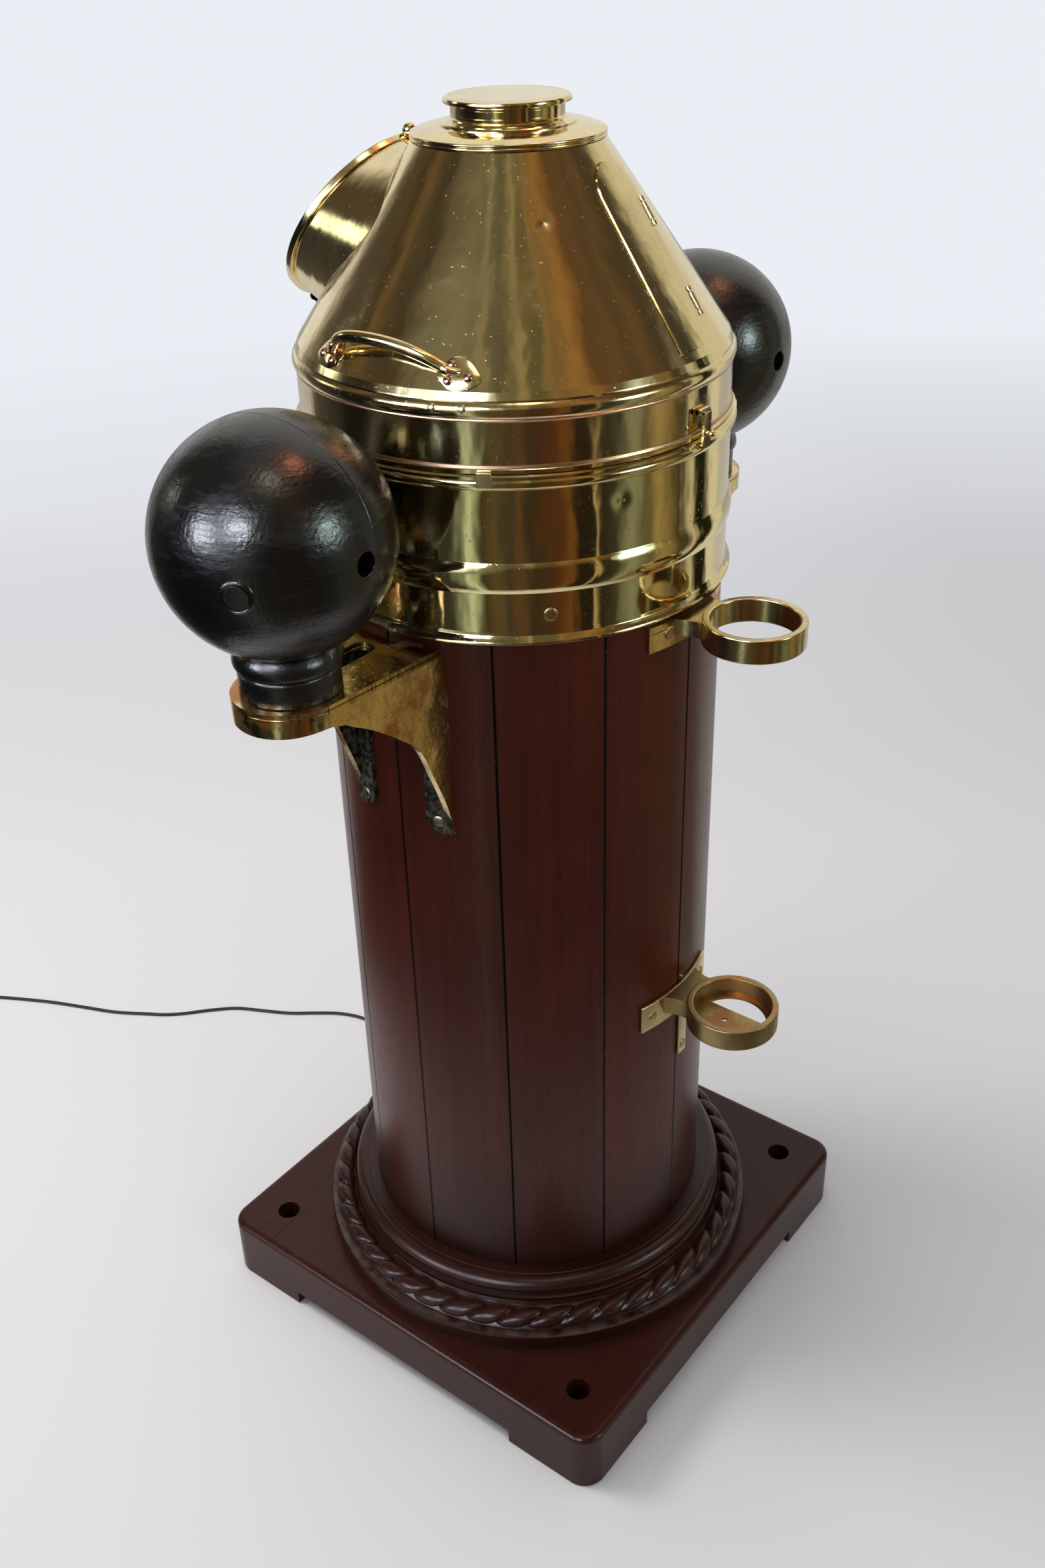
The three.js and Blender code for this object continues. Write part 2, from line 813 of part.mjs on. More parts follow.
// Gimbals: two forked brackets in the casing carry a ring, and the ring carries the bowl
function makeGimbals() {
  const fit = pinRadius + pinClearance;
  const half = gimbalBracketWidth / 2;
  const top = pivotHeight + gimbalBracketRise;
  const gimbalBracketReach = gimbalOuterRadius + gimbalBracketGap;
  const gimbalBracketBottom = pivotHeight - gimbalBracketDrop;
  const gimbalPinReach = columnRadius - gimbalPinInset;
  const inside = turned([
    [0, gimbalBracketBottom - overrun],
    [columnRadius, gimbalBracketBottom - overrun],
    [columnRadius, top + overrun],
    [0, top + overrun],
  ]);
  const slotTop = [gimbalPinReach + overrun, fit, top + overrun];
  const fork = cut(
    common(block([gimbalBracketReach, -half, gimbalBracketBottom], [casingRadius, half, top]), inside),
    rod(fit, [gimbalBracketReach - overrun, 0, pivotHeight], [gimbalPinReach + overrun, 0, pivotHeight]),
    block([gimbalBracketReach - overrun, -fit, pivotHeight], slotTop),
  );
  add('gimbal_bracket_right', fork, brass);
  add('gimbal_bracket_left', fork, brass).rotation.z = Math.PI;
  const low = pivotHeight - gimbalHeight / 2;
  const high = pivotHeight + gimbalHeight / 2;
  const hoop = turned([
    [gimbalInnerRadius, low],
    [gimbalOuterRadius, low],
    [gimbalOuterRadius, high],
    [gimbalInnerRadius, high],
  ], smallSides);
  const middle = (gimbalInnerRadius + gimbalOuterRadius) / 2;
  const reach = gimbalOuterRadius + overrun;
  add('gimbal_ring', cut(
    join(
      hoop,
      rod(pinRadius, [middle, 0, pivotHeight], [gimbalPinReach, 0, pivotHeight]),
      rod(pinRadius, [-gimbalPinReach, 0, pivotHeight], [-middle, 0, pivotHeight]),
    ),
    rod(fit, [0, gimbalInnerRadius - overrun, pivotHeight], [0, reach, pivotHeight]),
    rod(fit, [0, -reach, pivotHeight], [0, overrun - gimbalInnerRadius, pivotHeight]),
  ), brass);
}

function makeBowl() {
  const inner = bowlInner;
  const floor = bowlBottom + bowlWall;
  const ledge = bowlTop - glassThickness - seatGap;
  const shoulder = bowlBottom + bowlDepth * bowlShoulderShare;
  const [haunchRadius, haunch] = swell(
    bowlFloorRadius, bowlRadius - bowlFloorRadius, bowlBottom, bowlDepth, [bowlHaunchShares],
  )[0];
  const pinEnd = gimbalInnerRadius + bowlPinReach;
  const wall = turned([
    [0, bowlBottom],
    [bowlFloorRadius, bowlBottom],
    [haunchRadius, haunch],
    [bowlRadius, shoulder],
    [bowlRadius, bowlTop],
    [inner, bowlTop],
    [inner, ledge],
    [inner - glassLedge, ledge],
    [inner, ledge - glassLedge],
    [inner, shoulder],
    [haunchRadius - bowlWall, haunch + bowlWall],
    [bowlFloorRadius - bowlWall, floor],
    [0, floor],
  ], smallSides);
  const root = inner + bowlWall / 2;
  const magnetTop = cardHeight - seatGap;
  const magnetLow = magnetTop - cardMagnetThickness;
  const stem = turned([
    [0, bowlBottom + bowlWall / 2],
    [stemFootRadius, bowlBottom + bowlWall / 2],
    [stemFootRadius, floor + stemFootThickness],
    [stemRadius, floor + stemFootThickness * 2],
    [stemRadius, magnetLow - seatGap],
    [stemRadius / 2, magnetTop],
    [0, magnetTop],
  ], rodSides);
  add('bowl', join(
    wall,
    stem,
    rod(pinRadius, [0, root, pivotHeight], [0, pinEnd, pivotHeight]),
    rod(pinRadius, [0, -pinEnd, pivotHeight], [0, -root, pivotHeight]),
  ), brass);
  const glassRadius = inner - glassClearance;
  add('bowl_glass', turned([
    [0, bowlTop - glassThickness],
    [glassRadius, bowlTop - glassThickness],
    [glassRadius, bowlTop],
    [0, bowlTop],
  ], smallSides), clearGlass);
  const bezelBottom = bowlTop + seatGap;
  const bezelRadius = bowlRadius + bezelOverhang;
  add('bowl_bezel', turned([
    [bezelRadius - bezelWidth, bezelBottom],
    [bezelRadius, bezelBottom],
    [bezelRadius, bezelBottom + bezelThickness],
    [bezelRadius - bezelWidth, bezelBottom + bezelThickness],
  ], smallSides), brass);
  add('compass_card', turned([
    [0, cardHeight],
    [cardRadius, cardHeight],
    [cardRadius, cardHeight + cardThickness],
    [0, cardHeight + cardThickness],
  ], smallSides), cardWhite);
  add('card_magnet', cut(
    block(
      [-cardMagnetSide / 2, -cardMagnetLength / 2, magnetLow],
      [cardMagnetSide / 2, cardMagnetLength / 2, magnetTop],
    ),
    rod(cardMagnetEye - seatGap, [0, 0, magnetLow - overrun], [0, 0, magnetTop + overrun]),
  ), iron);
}

function makeLamp() {
  const lampDistance = columnRadius - lampInset;
  const x = lampDistance * Math.cos(rad(lampAngle));
  const y = lampDistance * Math.sin(rad(lampAngle));
  const bottom = deckTop + seatGap;
  const neck = bottom + lampHolderHeight;
  add('lamp_holder', turned([
    [0, 0],
    [lampHolderRadius, 0],
    [lampHolderRadius, lampHolderHeight],
    [0, lampHolderHeight],
  ], rodSides), brass).position.set(x, y, bottom);
  add('lamp_bulb', turned([
    [0, 0],
    ...swell(0, lampBulbRadius, 0, lampBulbHeight, lampBulbShares),
  ], rodSides), clearGlass).position.set(x, y, neck + seatGap);
}

// Hood: a short drum and a cone of sheet brass
const coneSlope = (coneBottomRadius - coneTopRadius) / (coneTop - coneBottom);
const coneStretch = Math.sqrt(1 + coneSlope ** 2); // sideways length for a unit across the sheet

function coneRadius(height, lift = 0) {
  return coneBottomRadius - coneSlope * (height - coneBottom) + lift * coneStretch;
}

// The filled hood with its sheet lifted outward, to cut what stands on it.
function hoodEnvelope(lift) {
  const apex = coneTop + coneTopRadius / coneSlope + (lift * coneStretch) / coneSlope;
  return turned([
    [0, hoodBandBottom],
    [hoodDrumRadius + lift, hoodBandBottom],
    [hoodDrumRadius + lift, hoodBeadBottom - lift],
    [hoodBeadRadius + lift, hoodBeadBottom - lift],
    [hoodBeadRadius + lift, hoodBeadBottom + hoodBeadHeight + lift],
    [coneRadius(coneBottom, lift), hoodBeadBottom + hoodBeadHeight + lift],
    [coneRadius(coneBottom, lift), coneBottom],
    [0, apex],
  ]);
}

// The layer of space between two lifts above the hood's cone.
function coneLayer(nearLift, farLift) {
  const low = coneBottom + seatGap;
  return turned([
    [coneRadius(low, nearLift), low],
    [coneRadius(low, farLift), low],
    [coneRadius(coneTop, farLift), coneTop],
    [coneRadius(coneTop, nearLift), coneTop],
  ]);
}

// Sight tube's slanting cone, between two depths behind its mouth and grown by an offset
const mouthHeight = coneBottom + mouthRise;
const mouthDistance = coneRadius(mouthHeight) + mouthStandOff;
const mouthNormal = new THREE.Vector3(0, -Math.cos(rad(mouthTilt)), Math.sin(rad(mouthTilt)));
const mouthUp = new THREE.Vector3(0, Math.sin(rad(mouthTilt)), Math.cos(rad(mouthTilt)));
const mouthMiddle = new THREE.Vector3(0, -mouthDistance, mouthHeight);

function sightCone(fromDepth, toDepth, growth) {
  const places = [];
  const faces = [];
  const sides = smallSides;
  [fromDepth, toDepth].forEach((depth) => {
    const middle = mouthMiddle.clone()
      .addScaledVector(mouthNormal, -depth)
      .addScaledVector(mouthUp, sightSlideShare * depth);
    const radius = mouthTubeRadius + growth + sightTaperShare * depth;
    places.push(...middle.toArray());
    for (let side = 0; side < sides; side += 1) {
      const angle = (side / sides) * 2 * Math.PI;
      const point = middle.clone().addScaledVector(mouthUp, radius * Math.cos(angle));
      point.x += radius * Math.sin(angle);
      places.push(...point.toArray());
    }
  });
  const back = sides + 1;
  for (let side = 0; side < sides; side += 1) {
    const here = 1 + side;
    const next = 1 + ((side + 1) % sides);
    faces.push(0, here, next, back, back + next, back + here);
    faces.push(here, back + here, back + next, here, back + next, next);
  }
  const geometry = new THREE.BufferGeometry();
  geometry.setAttribute('position', new THREE.Float32BufferAttribute(places, 3));
  geometry.setIndex(faces);
  return geometry;
}

// Outline of the hood's small door in x and z, drawn in by an inset
function doorPrism(inset) {
  const radius = hoodDoorWidth / 2 - inset;
  const middle = hoodDoorLeft + hoodDoorWidth / 2;
  const spring = hoodDoorTop - hoodDoorWidth / 2;
  const outline = [
    [middle - radius, hoodDoorBottom + inset],
    [middle + radius, hoodDoorBottom + inset],
    ...arc(middle, spring, radius, 0, 180, hoodDoorArcSteps),
  ];
  const reach = coneBottomRadius + overrun;
  return slab(outline, -reach, reach).rotateX(Math.PI / 2);
}

function makeHood() {
  const register = columnRadius;
  const registerInner = register - sheetWall + seatGap;
  const drumInner = hoodDrumRadius - sheetWall;
  const band = columnRadius + hoodBandReach;
  const shell = turned([
    [register, hoodBandBottom - hoodRegisterDrop],
    [register, hoodBandBottom],
    [band, hoodBandBottom],
    [band, hoodBandTop],
    [hoodDrumRadius, hoodBandTop],
    ...swell(hoodDrumRadius, hoodBeadReach, hoodBeadBottom, hoodBeadHeight, hoodBeadShares),
    [coneBottomRadius, hoodBeadTop],
    [coneBottomRadius, coneBottom],
    [coneTopRadius, coneTop],
    [coneRadius(coneTop, -sheetWall), coneTop],
    [coneRadius(coneBottom, -sheetWall), coneBottom],
    [drumInner, hoodBeadTop],
    [drumInner, hoodBandTop + sheetWall],
    [registerInner, hoodBandTop],
    [registerInner, hoodBandBottom - hoodRegisterDrop],
  ]);
  const sightHole = sightCone(0, sightDepth, -sheetWall);
  add('hood_shell', cut(shell, sightHole, doorPrism(hoodDoorOverlap)), brass);

  const brimBottom = coneTop + seatGap;
  const brimTop = brimBottom + brimHeight;
  const flangeBottom = brimTop + capDomeRise;
  const flangeTop = flangeBottom + capFlangeThickness;
  const collarTop = flangeTop + collarHeight;
  const capBoreRadius = collarRadius - collarWall;
  add('hood_cap', turned([
    [coneRadius(coneTop, -sheetWall), brimBottom],
    ...swell(coneTopRadius + brimOverhang, brimHeight, brimBottom, brimHeight, brimShares),
    [capFlangeRadius, flangeBottom],
    [capFlangeRadius, flangeTop],
    ...swell(collarRadius, collarHeight, flangeTop, collarHeight, coveShares),
    [collarRadius, collarTop],
    [capBoreRadius, collarTop],
    [capBoreRadius, flangeBottom - sheetWall],
    [coneRadius(coneTop, -sheetWall), brimTop - sheetWall],
  ]), brass);
  const lidBottom = collarTop + seatGap;
  const spigot = capBoreRadius - seatGap;
  const lidRadius = collarRadius + lidOverhang;
  add('hood_lid', turned([
    [0, lidBottom],
    [spigot - sheetWall, lidBottom],
    [spigot - sheetWall, lidBottom - lidSpigotDepth],
    [spigot, lidBottom - lidSpigotDepth],
    [spigot, lidBottom],
    [lidRadius, lidBottom],
    [lidRadius, lidBottom + lidThickness - lidEdgeRound],
    [lidRadius - lidEdgeRound, lidBottom + lidThickness],
    [0, lidBottom + lidThickness],
  ]), brass);
}

// Sight tube with its hinged, glazed cover
function fromMouth(out, up) {
  return mouthMiddle.clone().addScaledVector(mouthNormal, out).addScaledVector(mouthUp, up);
}

// Places a body turned about Z so that its axis is the mouth's and its zero height the mouth's plane.
function onMouth(shape) {
  const turn = new THREE.Quaternion().setFromUnitVectors(new THREE.Vector3(0, 0, 1), mouthNormal);
  return shape.applyQuaternion(turn).translate(...mouthMiddle.toArray());
}

const coverHingeReach = coverRadius + coverHingeRadius + seatGap;

function makeSightTube() {
  const front = coverDepth / 2 + seatGap;
  const reach = coverHingeLength / 2;
  const axis = fromMouth(0, -coverHingeReach);
  const barrel = rod(coverHingeRadius, [-reach, axis.y, axis.z], [reach, axis.y, axis.z]);
  const lug = onMouth(block(
    [-reach, -coverHingeReach, -front - coverHingeStem],
    [reach, -mouthTubeRadius + sheetWall * 2, -front],
  ));
  const neck = onMouth(block(
    [-reach, -coverHingeReach - coverHingeRadius / 2, -front - coverHingeStem / 2],
    [reach, -coverHingeReach + coverHingeRadius / 2, 0],
  ));
  const wall = join(sightCone(front, sightDepth, 0), lug, neck, barrel);
  add('sight_tube', cut(
    wall,
    sightCone(0, sightDepth + overrun, -sheetWall),
    hoodEnvelope(seatGap),
    onMouth(turned([
      [0, -front],
      [coverRadius + seatGap, -front],
      [coverRadius + seatGap, coverDepth],
      [0, coverDepth],
    ], smallSides)),
  ), brass);
  const half = coverDepth / 2;
  const seat = sightGlassThickness / 2;
  const inner = coverRadius - coverFrameWidth;
  const groove = inner + coverFrameWidth / 2;
  const knob = new THREE.SphereGeometry(coverKnobRadius, rodSides, rodSides / 2);
  const knobPlace = fromMouth(0, coverRadius + coverKnobRadius * coverKnobLiftShare);
  add('sight_cover', join(
    onMouth(turned([
      [inner, -half],
      [coverRadius, -half],
      [coverRadius, half],
      [inner, half],
      [inner, seat],
      [groove, seat],
      [groove, -seat],
      [inner, -seat],
    ], smallSides)),
    knob.translate(...knobPlace.toArray()),
  ), brass);
  add('sight_glass', onMouth(turned([
    [0, seatGap - seat],
    [groove - seatGap, seatGap - seat],
    [groove - seatGap, seat - seatGap],
    [0, seat - seatGap],
  ], smallSides)), clearGlass);
}

// Small door on the hood and the two barrels of its hinge
const hingeLineX = hoodDoorLeft - barrelOffset;

function hingePoint(height) {
  const lift = barrelRadius + seatGap;
  const across = coneRadius(height, lift);
  return [hingeLineX, Math.sqrt(across ** 2 - hingeLineX ** 2), height];
}

function makeHoodDoor() {
  const ends = [lowerBarrelBottom, upperBarrelBottom + barrelRise];
  const [foot, head] = [hingePoint(ends[0] - barrelRise), hingePoint(ends[1] + barrelRise)];
  const clear = rod(barrelRadius + seatGap, foot, head);
  const layer = coneLayer(hoodDoorLift, hoodDoorLift + hoodDoorThickness);
  add('hood_door', cut(common(layer, doorPrism(0)), clear), brass);
  [['upper', upperBarrelBottom], ['lower', lowerBarrelBottom]].forEach(([name, bottom]) => {
    const barrel = rod(barrelRadius, hingePoint(bottom), hingePoint(bottom + barrelRise));
    add(`door_hinge_${name}`, cut(barrel, hoodEnvelope(seatGap / 2)), brass);
  });
}

// Lifting handles: an arched bar between two plates on the cone
function makeHandles() {
  const handleFootHeight = coneBottom + handleFootRise;
  const footRadius = coneRadius(handleFootHeight);
  const chordX = footRadius * Math.cos(rad(handleSpreadAngle));
  const spread = footRadius * Math.sin(rad(handleSpreadAngle));
  const normal = new THREE.Vector3(1 / coneStretch, 0, coneSlope / coneStretch);
  const mirroredShares = handleArchShares.map(([along, out]) => [-along, out]);
  const pathShares = [...mirroredShares, [0, 1], ...handleArchShares.toReversed()];
  const path = new THREE.CatmullRomCurve3(pathShares.map(([along, out]) => (
    new THREE.Vector3(chordX, along * spread, handleFootHeight).addScaledVector(normal, out * handleArch)
  )));
  const section = arc(0, 0, handleBarRadius, 0, 360, handleBarSides).slice(0, -1);
  const shape = new THREE.Shape(section.map(([x, y]) => new THREE.Vector2(x, y)));
  const bar = new THREE.ExtrudeGeometry(shape, { steps: handleBarSteps, extrudePath: path });
  const layer = coneLayer(seatGap, seatGap + handlePlateThickness);
  const plates = [-1, 1].map((side) => {
    const foot = new THREE.Vector3(chordX, side * spread, handleFootHeight);
    const outward = new THREE.Vector3(foot.x, foot.y, coneSlope * footRadius).normalize();
    const half = overrun * 2;
    const disc = rod(
      handlePlateRadius,
      foot.clone().addScaledVector(outward, -half).toArray(),
      foot.clone().addScaledVector(outward, half).toArray(),
    );
    return common(disc, layer.clone().rotateZ(-rad(handleTurn)));
  });
  const handle = cut(join(bar, ...plates), hoodEnvelope(seatGap).rotateZ(-rad(handleTurn)));
  add('handle_near', handle, brass).rotation.z = rad(handleTurn);
  add('handle_far', handle, brass).rotation.z = rad(handleTurn + 180);
}

function makeHasp() {
  const half = haspWidth / 2;
  const haspHinge = hoodBandTop + haspHingeRise;
  const axis = hoodDrumRadius + seatGap + haspBarrelRadius;
  const inner = upperBeadRadius + haspStandOff;
  const bottom = haspHinge - haspDrop;
  const strap = block([-half, inner, bottom], [half, inner + haspThickness, haspHinge]);
  const top = block(
    [-half, axis, haspHinge - haspBarrelRadius / 2],
    [half, inner + haspThickness, haspHinge],
  );
  const barrel = rod(haspBarrelRadius, [-half, axis, haspHinge], [half, axis, haspHinge]);
  const knobHeight = haspHinge - haspKnobDrop;
  const knob = rod(haspKnobRadius, [0, inner, knobHeight], [0, inner + haspKnobRadius * 2, knobHeight]);
  add('hasp', join(strap, top, barrel, knob), brass);
}

// Sphere bracket: a slotted plate with two side webs that curve down into legs
function bracketPlan(inset) {
  const root = bracketRootHalfWidth - inset;
  const nose = bracketNoseRadius - inset;
  const middle = bracketReach - bracketNoseRadius;
  return [
    [staveInner, -root],
    [columnRadius, -root],
    ...arc(middle, 0, nose, -bracketNoseAngle, bracketNoseAngle, bracketNoseSteps),
    [columnRadius, root],
    [staveInner, root],
  ];
}

function sphereBracket() {
  const bottom = bracketTop - bracketDrop;
  const edge = swell(columnRadius, bracketLength, bracketTop, -bracketDrop, webEdgeShares);
  const side = [[staveInner, bracketTop], [bracketReach + overrun, bracketTop]];
  side.push([bracketReach + overrun, edge[0][1]], ...edge);
  const span = bracketRootHalfWidth + overrun;
  const profile = slab(side, -span, 2 * span).rotateX(Math.PI / 2);
  const outside = slab(bracketPlan(0), bottom - overrun, bracketDrop + 2 * overrun);
  const hollow = slab(bracketPlan(bracketWall), bottom - overrun, bracketDrop + overrun - bracketPlate);
  const slotInner = columnRadius + slotStart + slotHalfWidth;
  const slotOuter = columnRadius + slotStart + slotLength - slotHalfWidth;
  const slot = slab([
    ...arc(slotInner, 0, slotHalfWidth, 90, 270, slotSteps),
    ...arc(slotOuter, 0, slotHalfWidth, -90, 90, slotSteps),
  ], bottom, bracketDrop + overrun);
  const column = turned([
    [0, bottom - overrun],
    [mouldingInner, bottom - overrun],
    [mouldingInner, bracketTop + overrun],
    [0, bracketTop + overrun],
  ]);
  const footEdge = bracketRootHalfWidth - bracketFootInset;
  const footOuter = THREE.MathUtils.radToDeg(Math.asin(footEdge / columnRadius));
  const footInner = THREE.MathUtils.radToDeg(Math.asin((footEdge - bracketFootWidth) / columnRadius));
  const feet = [1, -1].map((hand) => sector(
    mouldingInner,
    mouldingInner + bracketFootThickness,
    hand > 0 ? footInner : -footOuter,
    hand > 0 ? footOuter : -footInner,
    bottom,
    bracketFootHeight,
  ));
  return join(cut(common(profile, outside), hollow, slot, column), ...feet);
}

function makeSpheres() {
  const hole = Math.sqrt(sphereRadius ** 2 - sphereHoleRadius ** 2);
  const innerRadius = sphereRadius - sphereWall;
  const start = 90 - THREE.MathUtils.radToDeg(Math.atan2(sphereHoleRadius, hole));
  const innerStart = 90 - THREE.MathUtils.radToDeg(Math.asin(sphereHoleRadius / innerRadius));
  const outerArc = arc(0, 0, sphereRadius, start, -90, sphereRings).slice(0, -1);
  const innerArc = arc(0, 0, innerRadius, -90, innerStart, sphereRings / 2).slice(1);
  const toSide = (profile) => turned(profile, smallSides).rotateX(-Math.PI / 2);
  const ball = toSide([...outerArc, [0, -sphereRadius], [0, -innerRadius], ...innerArc]);
  const bottom = bracketTop + seatGap;
  const sphereHeight = bracketTop + sphereRise;
  const facetReach = sphereRadius * Math.cos(Math.PI / smallSides) * Math.cos(Math.PI / 2 / sphereRings);
  const grown = 1 + seatGap / facetReach;
  const seat = toSide([[0, hole], ...outerArc, [0, -sphereRadius]])
    .scale(grown, grown, grown)
    .translate(0, 0, sphereHeight);
  const groove = bracketTop + neckGrooveRise;
  const neckTop = bracketTop + neckHeight;
  const neckBead = neckTop - neckBeadHeight;
  const neck = cut(turned([
    [0, bottom],
    [neckRadius, bottom],
    [neckRadius, groove - neckGrooveHalfWidth],
    [neckRadius - neckGrooveDepth, groove],
    [neckRadius, groove + neckGrooveHalfWidth],
    ...swell(neckRadius, neckBeadReach, neckBead, neckBeadHeight, neckBeadShares),
    [0, neckTop],
  ], smallSides), seat);
  const washerTop = bracketTop - bracketPlate - seatGap;
  const washerBottom = washerTop - clampWasherThickness;
  const bolt = join(
    rod(boltRadius, [0, 0, washerBottom - clampNutHeight], [0, 0, bracketTop]),
    rod(clampWasherRadius, [0, 0, washerBottom], [0, 0, washerTop], smallSides),
    rod(clampNutRadius, [0, 0, washerBottom - clampNutHeight], [0, 0, washerBottom], nutSides),
  );
  const bracket = sphereBracket();
  [['near', 1], ['far', -1]].forEach(([name, side]) => {
    add(`sphere_bracket_${name}`, bracket, brass).rotation.z = side > 0 ? 0 : Math.PI;
    const carried = new THREE.Group();
    carried.position.x = side * (columnRadius + sphereStandOff);
    add(`sphere_neck_${name}`, neck, blackPaint, carried);
    add(`sphere_${name}`, ball, blackPaint, carried).position.z = sphereHeight;
    add(`clamp_bolt_${name}`, bolt, brass, carried);
    group.add(carried);
  });
}

// Sockets for the upright bar: a ring above and a cup with a floor below
function socketBody(bottom, height, plateBottom, plateHeight) {
  const back = socketDistance - socketWebBack;
  const waist = (columnRadius + back) / 2 - plateThickness;
  const web = [
    [-socketWebRoot, columnRadius],
    [socketWebRoot, columnRadius],
    [socketWebWaist, waist],
    [socketWebFront, back],
    [-socketWebFront, back],
    [-socketWebWaist, waist],
  ];
  const webBottom = Math.max(bottom, plateBottom);
  const webTop = Math.min(bottom + height, plateBottom + plateHeight);
  const tube = turned([
    [0, bottom],
    [socketRadius, bottom],
    [socketRadius, bottom + height],
    [0, bottom + height],
  ], smallSides).translate(0, socketDistance, 0);
  const plate = sector(
    mouldingInner, mouldingInner + plateThickness, plateFrom, plateTo, plateBottom, plateHeight,
  );
  return join(tube, slab(web, webBottom, webTop - webBottom), plate);
}

function columnCutter(bottom, top) {
  return turned([
    [0, bottom],
    [mouldingInner, bottom],
    [mouldingInner, top],
    [0, top],
  ]);
}

function makeSockets() {
  const upperSocketBottom = columnTop - upperSocketInset;
  const upperPlateBottom = upperSocketBottom - upperPlateDrop;
  const low = upperPlateBottom - overrun;
  const high = upperSocketBottom + upperSocketHeight + overrun;
  const bore = (bottom, top) => rod(
    socketBore, [0, socketDistance, bottom], [0, socketDistance, top], smallSides,
  );
  add('flinders_ring', cut(
    socketBody(upperSocketBottom, upperSocketHeight, upperPlateBottom, upperPlateHeight),
    bore(low, high),
    columnCutter(low, high),
  ), brass);
  const cupBottom = baseHeight + cupRise;
  const lowerPlateBottom = cupBottom - lowerPlateDrop;
  const cupLegBottom = cupBottom - cupLegDrop;
  const floorTop = cupBottom + cupFloor;
  const cupTop = cupBottom + cupHeight;
  const halfAngle = THREE.MathUtils.radToDeg(Math.acos(cupWindowSide / cupWindowRadius));
  const window = slab(
    arc(0, socketDistance, cupWindowRadius, 180 - halfAngle, 180 + halfAngle, cupWindowSteps),
    cupBottom - overrun,
    overrun * 2,
  );
  const drain = [cupDrainOffset, socketDistance - cupDrainOffset];
  const legAngle = THREE.MathUtils.radToDeg(cupLegWidth / 2 / columnRadius);
  const leg = sector(
    mouldingInner,
    mouldingInner + plateThickness,
    cupLegAngle - legAngle,
    cupLegAngle + legAngle,
    cupLegBottom,
    lowerPlateBottom - cupLegBottom + plateThickness,
  );
  add('flinders_cup', cut(
    join(socketBody(cupBottom, cupHeight, lowerPlateBottom, lowerPlateHeight), leg),
    bore(floorTop, cupTop + overrun),
    window,
    rod(cupDrainRadius, [...drain, cupBottom - overrun], [...drain, cupTop]),
    columnCutter(cupLegBottom - overrun, cupTop + overrun),
  ), brass);
}

// Lead: a gland under the base, the free cord, its coil and its plug
const cordLow = cordWidth / 2 + floorLift;

function cordSection(sides) {
  const points = arc(0, 0, cordWidth / 2, 180 / sides, 360 + 180 / sides, sides).slice(0, -1);
  return new THREE.Shape(points.map(([x, y]) => new THREE.Vector2(x, y)));
}

function makeLead() {
  const points = cordRoute.map(([x, y, lift]) => new THREE.Vector3(x, y, cordLow + lift));
  const path = new THREE.CatmullRomCurve3(points);
  const lead = new THREE.ExtrudeGeometry(cordSection(cordSides), { steps: cordSteps, extrudePath: path });
  add('cord_lead', lead, blackRubber);
  const [x, y, lift] = cordRoute[0];
  const back = y + seatGap;
  add('cord_gland', block(
    [x - glandWidth / 2, back, glandClear],
    [x + glandWidth / 2, back + glandDepth, footHeight - seatGap],
  ), blackRubber);
  console.log(`lead ${path.getLength().toFixed(0)} mm, gland at height ${(cordLow + lift).toFixed(1)} mm`);
}

